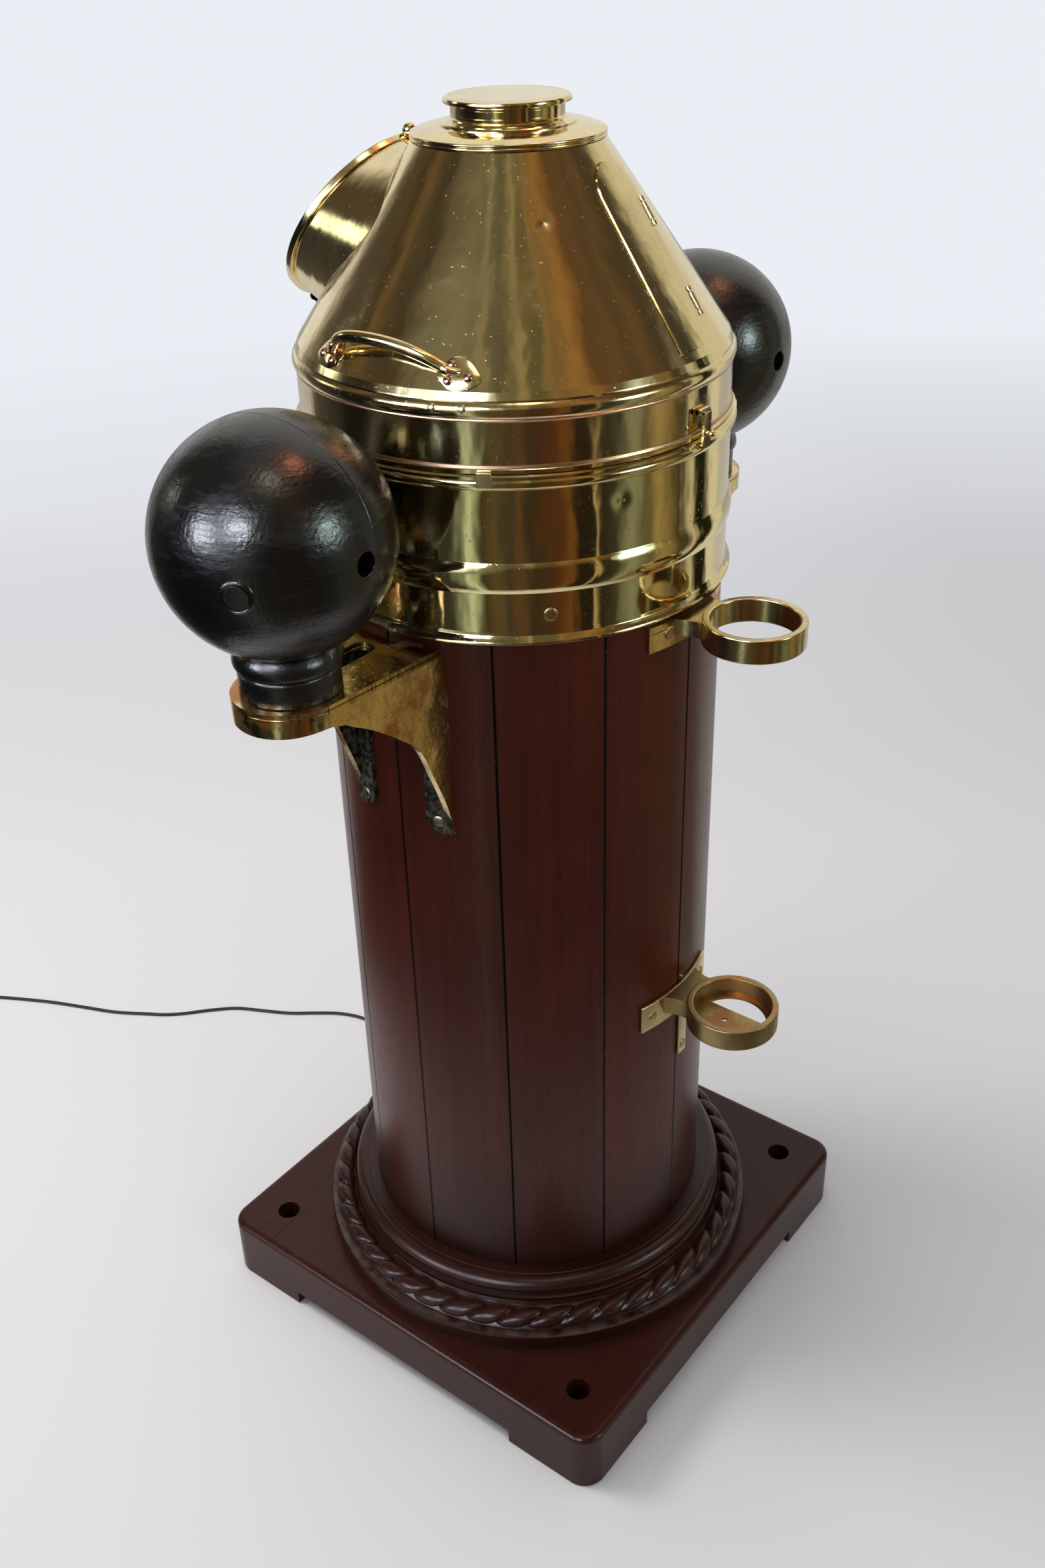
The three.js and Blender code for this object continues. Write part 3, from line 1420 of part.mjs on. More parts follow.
// The coil winds in on the floor, climbs one layer and winds out again on top.
function makeCoil() {
  const last = new THREE.Vector3(...cordRoute.at(-1).slice(0, 2), 0);
  const before = new THREE.Vector3(...cordRoute.at(-2).slice(0, 2), 0);
  const heading = last.clone().sub(before).normalize();
  const side = new THREE.Vector3(-heading.y, heading.x, 0);
  const outer = coilInnerRadius + (coilPitch * coilTurns) / 2;
  const start = last.clone().addScaledVector(heading, seatGap + cordWidth);
  const middle = start.clone().addScaledVector(side, outer);
  const firstAngle = Math.atan2(-side.y, -side.x);
  const centreline = [];
  const steps = coilTurns * coilSteps;
  const pointAt = (turn) => {
    const fromMiddle = turn - coilTurns / 2;
    const radius = coilInnerRadius + coilPitch * Math.abs(fromMiddle);
    const climb = THREE.MathUtils.smoothstep(fromMiddle, -coilClimbTurns, coilClimbTurns);
    const angle = firstAngle + turn * 2 * Math.PI;
    const x = middle.x + radius * Math.cos(angle);
    const y = middle.y + radius * Math.sin(angle);
    return new THREE.Vector3(x, y, cordLow + coilLayer * climb);
  };
  for (let step = 0; step <= steps; step += 1) centreline.push(pointAt(step / coilSteps));
  const lead = centreline[0].clone().addScaledVector(heading, -cordWidth);
  const away = centreline.at(-1).clone().sub(centreline.at(-2)).setZ(0).normalize();
  const tail = centreline.at(-1).clone().addScaledVector(away, coilTail);
  const spine = [lead, ...centreline, tail];
  add('cord_coil', tube(spine, coilSides), blackRubber);

  let leastGap = Infinity;
  const apart = coilSteps * coilNextTurnShare;
  centreline.forEach((point, index) => {
    centreline.slice(index + apart).forEach((other) => {
      leastGap = Math.min(leastGap, point.distanceTo(other) - cordWidth);
    });
  });
  console.log(`coil's least gap to itself ${leastGap.toFixed(2)} mm`);
  const coilLength = spine.slice(1).reduce((sum, point, index) => sum + point.distanceTo(spine[index]), 0);
  console.log(`coil ${coilLength.toFixed(0)} mm`);

  const turn = Math.atan2(away.y, away.x);
  const centre = plugHeight / 2 + floorLift;
  const body = block(
    [seatGap, -plugWidth / 2, -plugHeight / 2],
    [seatGap + plugLength, plugWidth / 2, plugHeight / 2],
  );
  const blades = [-1, 1].map((hand) => block(
    [plugLength / 2, hand * (plugBladeSpacing / 2) - plugBladeThickness / 2, -plugBladeWidth / 2],
    [
      seatGap + plugLength + plugBladeLength,
      hand * (plugBladeSpacing / 2) + plugBladeThickness / 2,
      plugBladeWidth / 2,
    ],
  ));
  const plug = add('cord_plug', join(body, ...blades), blackRubber);
  plug.position.set(tail.x, tail.y, centre);
  plug.rotation.z = turn;
}

// A closed tube through a list of points, level across so that its flats stay upright.
function tube(spine, sides) {
  const places = [];
  const faces = [];
  spine.forEach((point, index) => {
    const before = spine[Math.max(index - 1, 0)];
    const after = spine[Math.min(index + 1, spine.length - 1)];
    const along = after.clone().sub(before).normalize();
    const across = new THREE.Vector3(along.y, -along.x, 0).normalize();
    const up = across.clone().cross(along);
    for (let side = 0; side < sides; side += 1) {
      const angle = ((side + 0.5) / sides) * 2 * Math.PI;
      const corner = point.clone()
        .addScaledVector(across, (cordWidth / 2) * Math.cos(angle))
        .addScaledVector(up, (cordWidth / 2) * Math.sin(angle));
      places.push(...corner.toArray());
    }
  });
  for (let ring = 0; ring < spine.length - 1; ring += 1) {
    for (let side = 0; side < sides; side += 1) {
      const next = (side + 1) % sides;
      const [a, b] = [ring * sides + side, ring * sides + next];
      faces.push(a, b, b + sides, a, b + sides, a + sides);
    }
  }
  const end = (spine.length - 1) * sides;
  for (let side = 1; side < sides - 1; side += 1) {
    faces.push(0, side + 1, side, end, end + side, end + side + 1);
  }
  const geometry = new THREE.BufferGeometry();
  geometry.setAttribute('position', new THREE.Float32BufferAttribute(places, 3));
  geometry.setIndex(faces);
  return geometry;
}

makeBase();
makeMouldings();
makeColumn();
makeMagnets();
makeCasing();
makeGimbals();
makeBowl();
makeLamp();
makeHood();
makeSightTube();
makeHoodDoor();
makeHandles();
makeHasp();
makeSpheres();
makeSockets();
makeLead();
makeCoil();

export default group;
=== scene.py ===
"""Looks of a binnacle compass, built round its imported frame. Blender 4.5, metres, +Z up.

Shapes are worked out in millimetres as whole numpy arrays, and piece() turns them into metres.
A part is a pair: its points, and its faces as rows of four point numbers.
+X points to the near sphere, +Y to the bar sockets and -Y to the sight tube.
"""

import math

import bmesh
import bpy
import numpy as np
from mathutils import Matrix, Vector


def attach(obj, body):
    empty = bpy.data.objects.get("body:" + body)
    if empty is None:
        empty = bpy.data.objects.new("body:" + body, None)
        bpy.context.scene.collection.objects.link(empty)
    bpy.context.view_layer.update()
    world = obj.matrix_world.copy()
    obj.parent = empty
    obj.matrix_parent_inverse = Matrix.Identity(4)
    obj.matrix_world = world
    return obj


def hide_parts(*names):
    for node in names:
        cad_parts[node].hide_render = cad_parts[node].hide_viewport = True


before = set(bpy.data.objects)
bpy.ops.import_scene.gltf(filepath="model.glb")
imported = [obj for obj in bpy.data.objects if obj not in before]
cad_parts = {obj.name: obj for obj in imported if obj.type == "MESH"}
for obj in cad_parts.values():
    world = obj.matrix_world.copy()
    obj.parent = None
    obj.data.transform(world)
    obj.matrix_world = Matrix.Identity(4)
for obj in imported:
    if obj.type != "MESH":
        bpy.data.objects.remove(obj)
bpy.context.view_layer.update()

GAP = 0.3  # between two pieces that touch
COLUMN = 198.5  # column's radius
SEAT = COLUMN + GAP  # where mouldings, brackets and plates sit on it
STAVE_INNER = 170
STAVE_MIDDLE = 184
STAVE_ANGLE = 30
STAVE_TOP = 964.6
BASE_HALF = 277.5  # half of the square board's side
BASE_TOP = 80
BASE_WELL = 150  # radius of the hole under the column
BOLT_AT = 224
BOLT_HOLE = 13.5  # radius
PLINTH_FOOT = BASE_TOP + GAP
PLINTH_TOP = 101
PLINTH = 261  # its radius
ROPE_RING = 241  # radius of the carved rope's middle line
ROPE_HEIGHT = 110.6
ROPE = 12.9  # radius of its section
ROPE_TOP = 124
HALF_ROUND_TOP = 149.3
PIVOT = 1080  # height of the gimbal pins
PIN = 5  # radius of the gimbal pins
PIN_HOLE = PIN + GAP
CARD_TOP = 1066
DECK_TOP = 977
BRACKET_TOP = 935
CONE_FOOT = (200.5, 1162)  # radius and height of the hood's cone at its foot and its top
CONE_HEAD = (84.5, 1329.5)
CONE_SLOPE = (CONE_FOOT[0] - CONE_HEAD[0]) / (CONE_HEAD[1] - CONE_FOOT[1])
CONE_STRETCH = math.hypot(1, CONE_SLOPE)
SHEET = 2.5  # wall of the hood and the sight tube
CASING_WALL = 201.3  # radius of the casing's plain bands
SPHERE_AT = 322.5  # from the column's axis to the middle of a sphere
SPHERE_HEIGHT = 1071.6
SPHERE = 101.5  # its radius, and the one of the hollow inside it
SPHERE_INSIDE = 82
SPHERE_HOLE = 10
SOCKET_AT = 266.5  # from the column's axis to the middle of a socket
SOCKET = (41, 48)  # its radii inside and outside
CAMERA_SIDE = 38  # azimuth of the camera, seen from the column
HAZE = (0.83, 0.86, 0.91)  # the backdrop's colour


# Camera: the photograph's place, aim and lens

def make_camera():
    """Camera whose right and up lie across its line of sight, turned by the photograph's small roll."""
    ahead = Vector((-0.67100, -0.52776, -0.52080)).normalized()
    level = ahead.cross(Vector((0, 0, 1))).normalized()
    roll = math.radians(-1.70)
    right = level * math.cos(roll) + level.cross(ahead) * math.sin(roll)
    up = right.cross(ahead)
    camera = bpy.data.objects.new("camera", bpy.data.cameras.new("camera"))
    camera.data.lens = 35.56
    camera.data.sensor_width = 36
    camera.matrix_world = Matrix((right, up, -ahead)).transposed().to_4x4()
    camera.location = (1.126641, 0.880552, 1.548091)
    bpy.context.collection.objects.link(camera)
    bpy.context.scene.camera = camera


# Curves and outlines

def arc(x, y, radius, start, end, steps=12):
    """Points on a circle about (x, y), from one angle to another, in degrees."""
    angle = np.radians(np.linspace(start, end, steps + 1))
    return np.stack([x + radius * np.cos(angle), y + radius * np.sin(angle)], -1)


def swelling(low, high, rise, steps=12):
    """Arc of a circle between two [radius, height] points that stands out from them by a rise."""
    low, high = np.array(low, float), np.array(high, float)
    middle, half = (low + high) / 2, np.linalg.norm(high - low) / 2
    out = np.array([high[1] - low[1], low[0] - high[0]]) / (2 * half)
    along = (high - low) / (2 * half)
    radius = (half**2 + rise**2) / (2 * rise)
    bend = np.linspace(-1, 1, steps + 1)[:, None] * math.asin(half / radius)
    return middle + out * (rise - radius + radius * np.cos(bend)) + along * radius * np.sin(bend)


def flowing(points, count):
    """Smooth curve through points: between two neighbours it is the cubic whose slope at each end is
    half the step from the point before to the point after."""
    p = np.asarray(points, float)
    p = np.concatenate([2 * p[:1] - p[1:2], p, 2 * p[-1:] - p[-2:-1]])
    t = np.linspace(0, len(p) - 3, count)
    k = np.minimum(t.astype(int), len(p) - 4)
    t = (t - k)[:, None]
    a, b, c, d = p[k], p[k + 1], p[k + 2], p[k + 3]
    return b + 0.5 * t * (c - a + t * (2 * a - 5 * b + 4 * c - d + t * (3 * (b - c) + d - a)))


def rounded(outline, radius, closed=True, steps=3):
    """Outline with each corner replaced by a parabola that leaves the sides at a radius from the corner,
    or at 45% of the shorter side."""
    p = np.asarray(outline, float)
    before, after = np.roll(p, 1, 0) - p, np.roll(p, -1, 0) - p
    back, ahead = (np.linalg.norm(v, axis=1) for v in (before, after))
    reach = np.minimum(radius, 0.45 * np.minimum(back, ahead))
    if not closed:
        reach[[0, -1]] = 0
    first = p + before * (reach / back)[:, None]
    last = p + after * (reach / ahead)[:, None]
    t = np.linspace(0, 1, steps + 1)[:, None]
    curve = (1 - t) ** 2 * first[:, None] + 2 * t * (1 - t) * p[:, None] + t**2 * last[:, None]
    return curve.reshape(-1, p.shape[1])


def polar(radius, degrees, height):
    """Points at a radius and an angle round the column, at a height."""
    angle = np.radians(degrees)
    return np.stack(np.broadcast_arrays(radius * np.cos(angle), radius * np.sin(angle), height), -1)


def cone_radius(height, lift=0.0):
    """Radius of the hood's cone at a height, with its surface lifted outward."""
    return CONE_FOOT[0] - CONE_SLOPE * (height - CONE_FOOT[1]) + lift * CONE_STRETCH


# Surfaces

def surface(grid, wrap=False, loop=False):
    """Part of a grid of points [row, column]. wrap joins its last column to its first, and loop its last
    row to its first."""
    rows, columns = grid.shape[:2]
    row = np.arange(rows if loop else rows - 1)[:, None]
    column = np.arange(columns if wrap else columns - 1)[None]
    here, below = row * columns, (row + 1) % rows * columns
    next_column = (column + 1) % columns
    faces = np.stack([here + column, here + next_column, below + next_column, below + column], -1)
    return grid.reshape(-1, 3).astype(float), faces.reshape(-1, 4)


def held(profile, loop):
    """Profile with a point 0.4 inside each end of its lines longer than 3, so that shading stays even
    along them."""
    points = []
    ends = list(profile[1:]) + ([profile[0]] if loop else [])
    for start, end in zip(profile, ends):
        step = end - start
        length = np.hypot(*step)
        points.append(start)
        if length > 3:
            points += [start + step * 0.4 / length, end - step * 0.4 / length]
    return np.array(points + ([] if loop else [profile[-1]]))


def turned(profile, sides=128):
    """Body of revolution about Z: each [radius, height] of the profile goes round in a circle. A profile
    that lies off the axis closes on itself."""
    profile = np.asarray(profile, float)
    radius, height = held(profile, profile[0, 0] > 1e-6).T[:, :, None]
    grid = polar(radius, np.linspace(0, 360, sides, endpoint=False), height)
    return surface(grid, wrap=True, loop=bool(radius[0, 0] > 1e-6))


def slab(front, back, wrap=False):
    """Solid between two grids of points: a loop runs down the front and up the back of each column, and
    on the outer columns the loop closes on the line half-way between them."""
    grid = np.concatenate([front, back[::-1]])
    if not wrap:
        middle = (front + back) / 2
        middle = np.concatenate([middle, middle[::-1]])
        grid = np.concatenate([middle[:, :1], grid, middle[:, -1:]], 1)
    return surface(grid, wrap=wrap, loop=True)


def carried(section, path, up=(0, 0, 1), size=1.0, loop=False):
    """Closed section carried along a path: its x lies across the path, and its y as near to up as it can.
    Each end closes on its middle."""
    path = np.asarray(path, float)
    step = np.roll(path, -1, 0) - np.roll(path, 1, 0) if loop else np.gradient(path, axis=0)
    across = np.cross(step, up)
    across /= np.linalg.norm(across, axis=1)[:, None]
    rise = np.cross(across, step)
    rise /= np.linalg.norm(rise, axis=1)[:, None]
    flat = np.asarray(section, float) * np.reshape(size, (-1, 1, 1))
    grid = path[:, None] + across[:, None] * flat[..., :1] + rise[:, None] * flat[..., 1:]
    if not loop:
        ends = np.repeat(path[[0, -1], None], grid.shape[1], 1)
        grid = np.concatenate([ends[:1], grid, ends[1:]])
    return surface(grid, wrap=True, loop=loop)


def laid(part, place, axis, side=None):
    """Part whose Z is turned to an axis, and its X to the side nearest the given one, at a place."""
    z = np.array(axis, float) / np.linalg.norm(axis)
    x = np.array(side if side is not None else ([1, 0, 0] if abs(z[0]) < 0.9 else [0, 1, 0]), float)
    x -= z * (x @ z)
    x /= np.linalg.norm(x)
    points, faces = part
    return points @ np.stack([x, np.cross(z, x), z]) + np.array(place, float), faces


def spun(part, degrees):
    """Part turned about the column's axis."""
    c, s = math.cos(math.radians(degrees)), math.sin(math.radians(degrees))
    return part[0] @ np.array([[c, s, 0], [-s, c, 0], [0, 0, 1]]), part[1]


def shifted(part, x=0.0, y=0.0, z=0.0):
    """Part moved by an offset."""
    return part[0] + np.array([x, y, z]), part[1]


def together(*parts):
    """Several parts as one."""
    starts = np.cumsum([0] + [len(points) for points, _ in parts[:-1]])
    faces = [part[1] + start for part, start in zip(parts, starts)]
    return np.concatenate([part[0] for part in parts]), np.concatenate(faces)


def rod(radius, start, end, edge=0.3, sides=32):
    """Round bar between two points with softened ends."""
    start, end = np.array(start, float), np.array(end, float)
    length = np.linalg.norm(end - start)
    profile = [[0, 0], [radius - edge, 0], [radius, edge]]
    profile += [[radius, length - edge], [radius - edge, length], [0, length]]
    return laid(turned(profile, sides), start, end - start)


def block(low, high):
    """Box from its lowest corner to its highest."""
    (x0, y0, z0), (x1, y1, z1) = low, high
    bottom = np.array([[[x0, y0, z0], [x1, y0, z0]], [[x0, y1, z0], [x1, y1, z0]]], float)
    return slab(bottom, bottom + [0, 0, z1 - z0])


def washer(inner, outer, low, high, edge, sides=128):
    """Ring of rectangular section with rounded edges."""
    return turned(rounded([[inner, low], [outer, low], [outer, high], [inner, high]], edge), sides)


def disc(radius, low, high, edge, sides=128):
    """Round plate with a rounded edge."""
    return turned(rounded([[0, low], [radius, low], [radius, high], [0, high]], edge, False), sides)


def stacked(outlines, heights, middle=(0, 0)):
    """Body of outlines that stand over each other at heights. Its two ends close on a middle."""
    outlines = np.broadcast_to(outlines, (len(heights), *outlines.shape[-2:]))
    end = np.broadcast_to(middle, (1, *outlines.shape[1:]))
    flat = np.concatenate([end, outlines, end])
    height = np.array([heights[0], *heights, heights[-1]], float)[:, None, None]
    return surface(np.concatenate([flat, np.broadcast_to(height, (*flat.shape[:2], 1))], 2), wrap=True)


def plate(inner, outer, start, end, low, high, steps=24, rows=2):
    """Curved plate between two radii, two angles in degrees and two heights."""
    angle, height = np.meshgrid(np.linspace(start, end, steps + 1), np.linspace(low, high, rows))
    return slab(polar(outer, angle, height), polar(inner, angle, height))


def on_cone(outline, foot_angle, foot_height, low, high, dome):
    """Plate bent onto the hood's cone: rings shrink an outline of [sideways, uphill] points to its
    middle, and the outer face is a dome that falls off with the square of the distance."""
    share = np.linspace(0, 1, 8)[:, None, None]
    flat = outline * share
    height = foot_height + flat[..., 1] / CONE_STRETCH
    angle = foot_angle + np.degrees(flat[..., 0] / cone_radius(height))
    lift = high - dome * share[..., 0] ** 2
    return slab(polar(cone_radius(height, lift), angle, height),
                polar(cone_radius(height, low), angle, height), wrap=True)


def cone_normal(degrees):
    """Direction that stands square on the hood's cone at an angle."""
    return polar(1 / CONE_STRETCH, degrees, CONE_SLOPE / CONE_STRETCH)


# Making pieces

def mesh_of(name, parts):
    """Mesh in metres of a list of parts: doubled points are merged and faces turned outward."""
    points, faces = together(*parts)
    mesh = bpy.data.meshes.new(name)
    mesh.from_pydata((points / 1000).tolist(), [], faces.tolist())
    counts = [len(part[1]) for part in parts]
    mesh.polygons.foreach_set("material_index", np.repeat(np.arange(len(parts)), counts).astype(np.int32))
    shape = bmesh.new()
    shape.from_mesh(mesh)
    bmesh.ops.remove_doubles(shape, verts=shape.verts, dist=2e-6)
    bmesh.ops.dissolve_degenerate(shape, edges=shape.edges, dist=1e-7)
    bmesh.ops.recalc_face_normals(shape, faces=shape.faces)
    shape.to_mesh(mesh)
    shape.free()
    return mesh


def piece(name, parts, finishes, body, *nodes, slot=None, crease=32, bevel=0.0, cuts=(), board=None):
    """Object of one or more parts, each with its finish, that rides on a body and may replace CAD nodes.
    cuts are parts that are taken out of it, bevel rounds its sharp edges by that many millimetres, and
    board is a number kept on its points that tells one wooden board from the next."""
    parts = [parts] if isinstance(parts, tuple) else list(parts)
    finishes = list(finishes) if isinstance(finishes, (list, tuple)) else [finishes]
    item = bpy.data.objects.new(name, mesh_of(name, parts))
    bpy.context.collection.objects.link(item)
    for finish in finishes:
        item.data.materials.append(finish)
    if len(finishes) == 1:
        item.data.polygons.foreach_set("material_index", np.zeros(len(item.data.polygons), np.int32))
    if cuts:
        carve(item, cuts)
    item.data.shade_smooth()
    if bevel:
        edge = item.modifiers.new("edge", "BEVEL")
        edge.width, edge.segments, edge.limit_method = bevel / 1000, 2, "ANGLE"
        edge.angle_limit = math.radians(crease)
        item.modifiers.new("normals", "WEIGHTED_NORMAL").keep_sharp = True
    else:
        item.data.set_sharp_from_angle(angle=math.radians(crease))
    if board is not None:
        values = np.full(len(item.data.vertices), board, np.float32)
        item.data.attributes.new("board", "FLOAT", "POINT").data.foreach_set("value", values)
    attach(item, body)
    if nodes:
        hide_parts(*nodes)
    return item


def carve(item, cuts):
    """Takes parts out of a piece with Boolean modifiers, and keeps the result as its mesh."""
    tools = [bpy.data.objects.new("tool", mesh_of("tool", [part])) for part in cuts]
    for tool in tools:
        bpy.context.collection.objects.link(tool)
        cut = item.modifiers.new("cut", "BOOLEAN")
        cut.operation, cut.solver, cut.object = "DIFFERENCE", "EXACT", tool
    carved = bpy.data.meshes.new_from_object(item.evaluated_get(bpy.context.evaluated_depsgraph_get()))
    item.modifiers.clear()
    item.data = carved
    for tool in tools:
        bpy.data.objects.remove(tool)


# Finishes: shader maths as Python expressions

class Value:
    """What comes out of a shader node. Sums on it add Math nodes to its finish."""

    def __init__(self, finish, socket):
        self.finish, self.socket = finish, socket

    def math(self, operation, *terms):
        return self.finish.node("ShaderNodeMath", {"operation": operation}, terms)

    def __add__(self, other):
        return self.math("ADD", self, other)

    __radd__ = __add__

    def __sub__(self, other):
        return self.math("SUBTRACT", self, other)

    def __rsub__(self, other):
        return self.math("SUBTRACT", other, self)

    def __mul__(self, other):
        return self.math("MULTIPLY", self, other)

    __rmul__ = __mul__

    def __truediv__(self, other):
        return self.math("DIVIDE", self, other)

    def __pow__(self, power):
        return self.math("POWER", self, power)

    def over(self, low, high):
        """0 below the low value, 1 above the high one, and an even slope between."""
        return self.finish.node("ShaderNodeMapRange", {"clamp": True}, (self, low, high, 0.0, 1.0))


class Finish:
    """A new material, or the world, in the making: node() adds a node, and shade() ends it with a
    Principled shader."""

    def __init__(self, owner):
        self.owner = bpy.data.materials.new(owner) if isinstance(owner, str) else owner
        self.owner.use_nodes = True
        self.tree = self.owner.node_tree
        self.tree.nodes.clear()

    def node(self, kind, settings=None, inputs=(), output=0):
        """Node of a type: its settings come first, then the values or links of its sockets, by number in
        a list or by name in a dict. Gives one of its outputs."""
        made = self.tree.nodes.new(kind)
        for key, value in (settings or {}).items():
            if key == "stops":
                ramp = made.color_ramp.elements
                while len(ramp) < len(value):
                    ramp.new(1.0)
                for element, (place, colour) in zip(ramp, value):
                    element.position, element.color = place, (*colour, 1)
            else:
                setattr(made, key, value)
        pairs = inputs.items() if isinstance(inputs, dict) else enumerate(inputs)
        for key, value in pairs:
            if isinstance(value, Value):
                self.tree.links.new(value.socket, made.inputs[key])
            else:
                made.inputs[key].default_value = value
        return Value(self, made.outputs[output])

    def stretched(self, spot, scale):
        """Coordinates with each axis stretched by its own scale."""
        return self.node("ShaderNodeMapping", inputs={"Vector": spot, "Scale": scale})

    def place(self, scale=(1, 1, 1)):
        """Object coordinates, stretched."""
        return self.stretched(self.node("ShaderNodeTexCoord", output=3), scale)

    def noise(self, spot, scale, detail=2.0, rough=0.5, warp=0.0):
        """Cloudy noise from 0 to 1 with features about 1 / scale metres wide."""
        return self.node("ShaderNodeTexNoise", inputs={
            "Vector": spot, "Scale": scale, "Detail": detail, "Roughness": rough, "Distortion": warp})

    def vector(self, operation, *terms, output=0):
        """Sum on vectors."""
        return self.node("ShaderNodeVectorMath", {"operation": operation}, terms, output)

    def split(self, vector):
        """The three numbers of a vector."""
        return [self.node("ShaderNodeSeparateXYZ", inputs=(vector,), output=i) for i in range(3)]

    def joined(self, x, y, z):
        """Vector of three numbers."""
        return self.node("ShaderNodeCombineXYZ", inputs=(x, y, z))

    def mix(self, share, first, second):
        """Colour between two colours by a share."""
        first, second = (c if isinstance(c, Value) else (*c, 1) for c in (first, second))
        return self.node("ShaderNodeMix", {"data_type": "RGBA"}, {0: share, 6: first, 7: second}, 2)

    def ramp(self, share, stops):
        """Colour of a share along a row of stops."""
        return self.node("ShaderNodeValToRGB", {"stops": stops}, (share,))

    def relief(self, height):
        """Normal of a surface raised by a height in metres."""
        return self.node("ShaderNodeBump", inputs={"Strength": 1.0, "Distance": 1.0, "Height": height})

    def line_at(self, level):
        """1 on a thin level line round the object at a height in metres, and 0 from 0.7 mm off it on."""
        z = self.split(self.place())[2]
        return 1 - z.math("ABSOLUTE", z - level).over(0.0002, 0.0007)

    def rays(self):
        """1 for rays from the camera, and 1 for rays thrown back by metal."""
        return [self.node("ShaderNodeLightPath", output=i) for i in (0, 3)]

    def shade(self, **sockets):
        """Ends the finish with a Principled shader; a socket's name is written with _ for its spaces."""
        inputs = {name.replace("_", " "): (*value, 1) if isinstance(value, tuple) else value
                  for name, value in sockets.items()}
        shader = self.node("ShaderNodeBsdfPrincipled", inputs=inputs)
        return self.end("ShaderNodeOutputMaterial", shader)

    def end(self, kind, shader):
        """Joins a shader to a new output node, and gives the material."""
        out = self.tree.nodes.new(kind)
        self.tree.links.new(shader.socket, out.inputs[0])
        return self.owner


def brass(name, colour, dark, polish, wave, haze=0.16, tarnish=0.4, dents=()):
    """Brass sheet: waves left by the mallet bend its reflections, a dull bloom and handling marks come
    and go in clouds, with fine rubbing scratches in arcs, small dark pits and a few spills. A dent has
    its place, its width and its depth in metres."""
    f = Finish(name)
    spot = f.place()
    cloud = f.noise(spot, 9, 5, 0.62)
    marks = f.noise(spot, 38, 5, 0.68, 0.6)
    bloom = cloud.over(0.40, 0.66) * marks.over(0.30, 0.72)
    rub = f.noise(f.place((420, 420, 24)), 1.0, 4, 0.75, 0.4)
    swirl = f.noise(f.place((30, 30, 500)), 1.0, 3, 0.7, 1.2)
    fine = rub * 0.6 + swirl * 0.4
    specks = f.noise(spot, 360, 1).over(0.71, 0.79)
    spill = f.noise(spot, 17, 4, 0.7, 0.8).over(0.63, 0.70)
    shade = f.mix(bloom * tarnish + specks * 0.4 + spill * 0.16, colour, dark)
    height = f.noise(spot, 8, 1) * wave + f.noise(f.place((34, 34, 14)), 1.0, 2, 0.45) * (wave * 0.3)
    height = height + fine * 0.000007 - specks * 0.00003
    for place, width, depth in dents:
        away = f.vector("DISTANCE", spot, place, output=1)
        height = height - (1 - away.over(0.0, width)) ** 2 * depth
    return f.shade(Base_Color=shade, Metallic=1.0,
                   Roughness=bloom * haze + fine * 0.07 + specks * 0.3 + spill * 0.08 + polish,
                   Normal=f.relief(height))


def cast_brass(name, colour, dark, rough, spots, sag=0.0006, seam=None):
    """Cast brass: dressed with a file, pitted, with rusty brown stains that gather in clouds. A seam is
    the height in metres of the dark line round two pieces that meet."""
    f = Finish(name)
    spot = f.place()
    cloud = f.noise(spot, 24, 4, 0.6)
    grain = f.noise(spot, 190, 4, 0.6)
    pits = f.noise(spot, 330, 2).over(0.62, 0.72)
    rust = (f.noise(spot, 36, 4, 0.65) * f.noise(spot, 13, 2)).over(0.285, 0.35) * spots
    shade = f.mix(cloud.over(0.35, 0.7) * 0.5, colour, dark)
    shade = f.mix(rust + pits * 0.35, shade, (0.44, 0.16, 0.03))
    height = f.noise(spot, 24, 3, 0.5) * sag + grain * 0.00005 - pits * 0.00008
    if seam:
        line = f.line_at(seam)
        shade = f.mix(line * 0.8, shade, (0.02, 0.012, 0.006))
        height = height - line * 0.0003
    return f.shade(Base_Color=shade, Metallic=1.0 - rust * 0.2,
                   Roughness=cloud * 0.12 + rust * 0.12 + rough, Normal=f.relief(height))


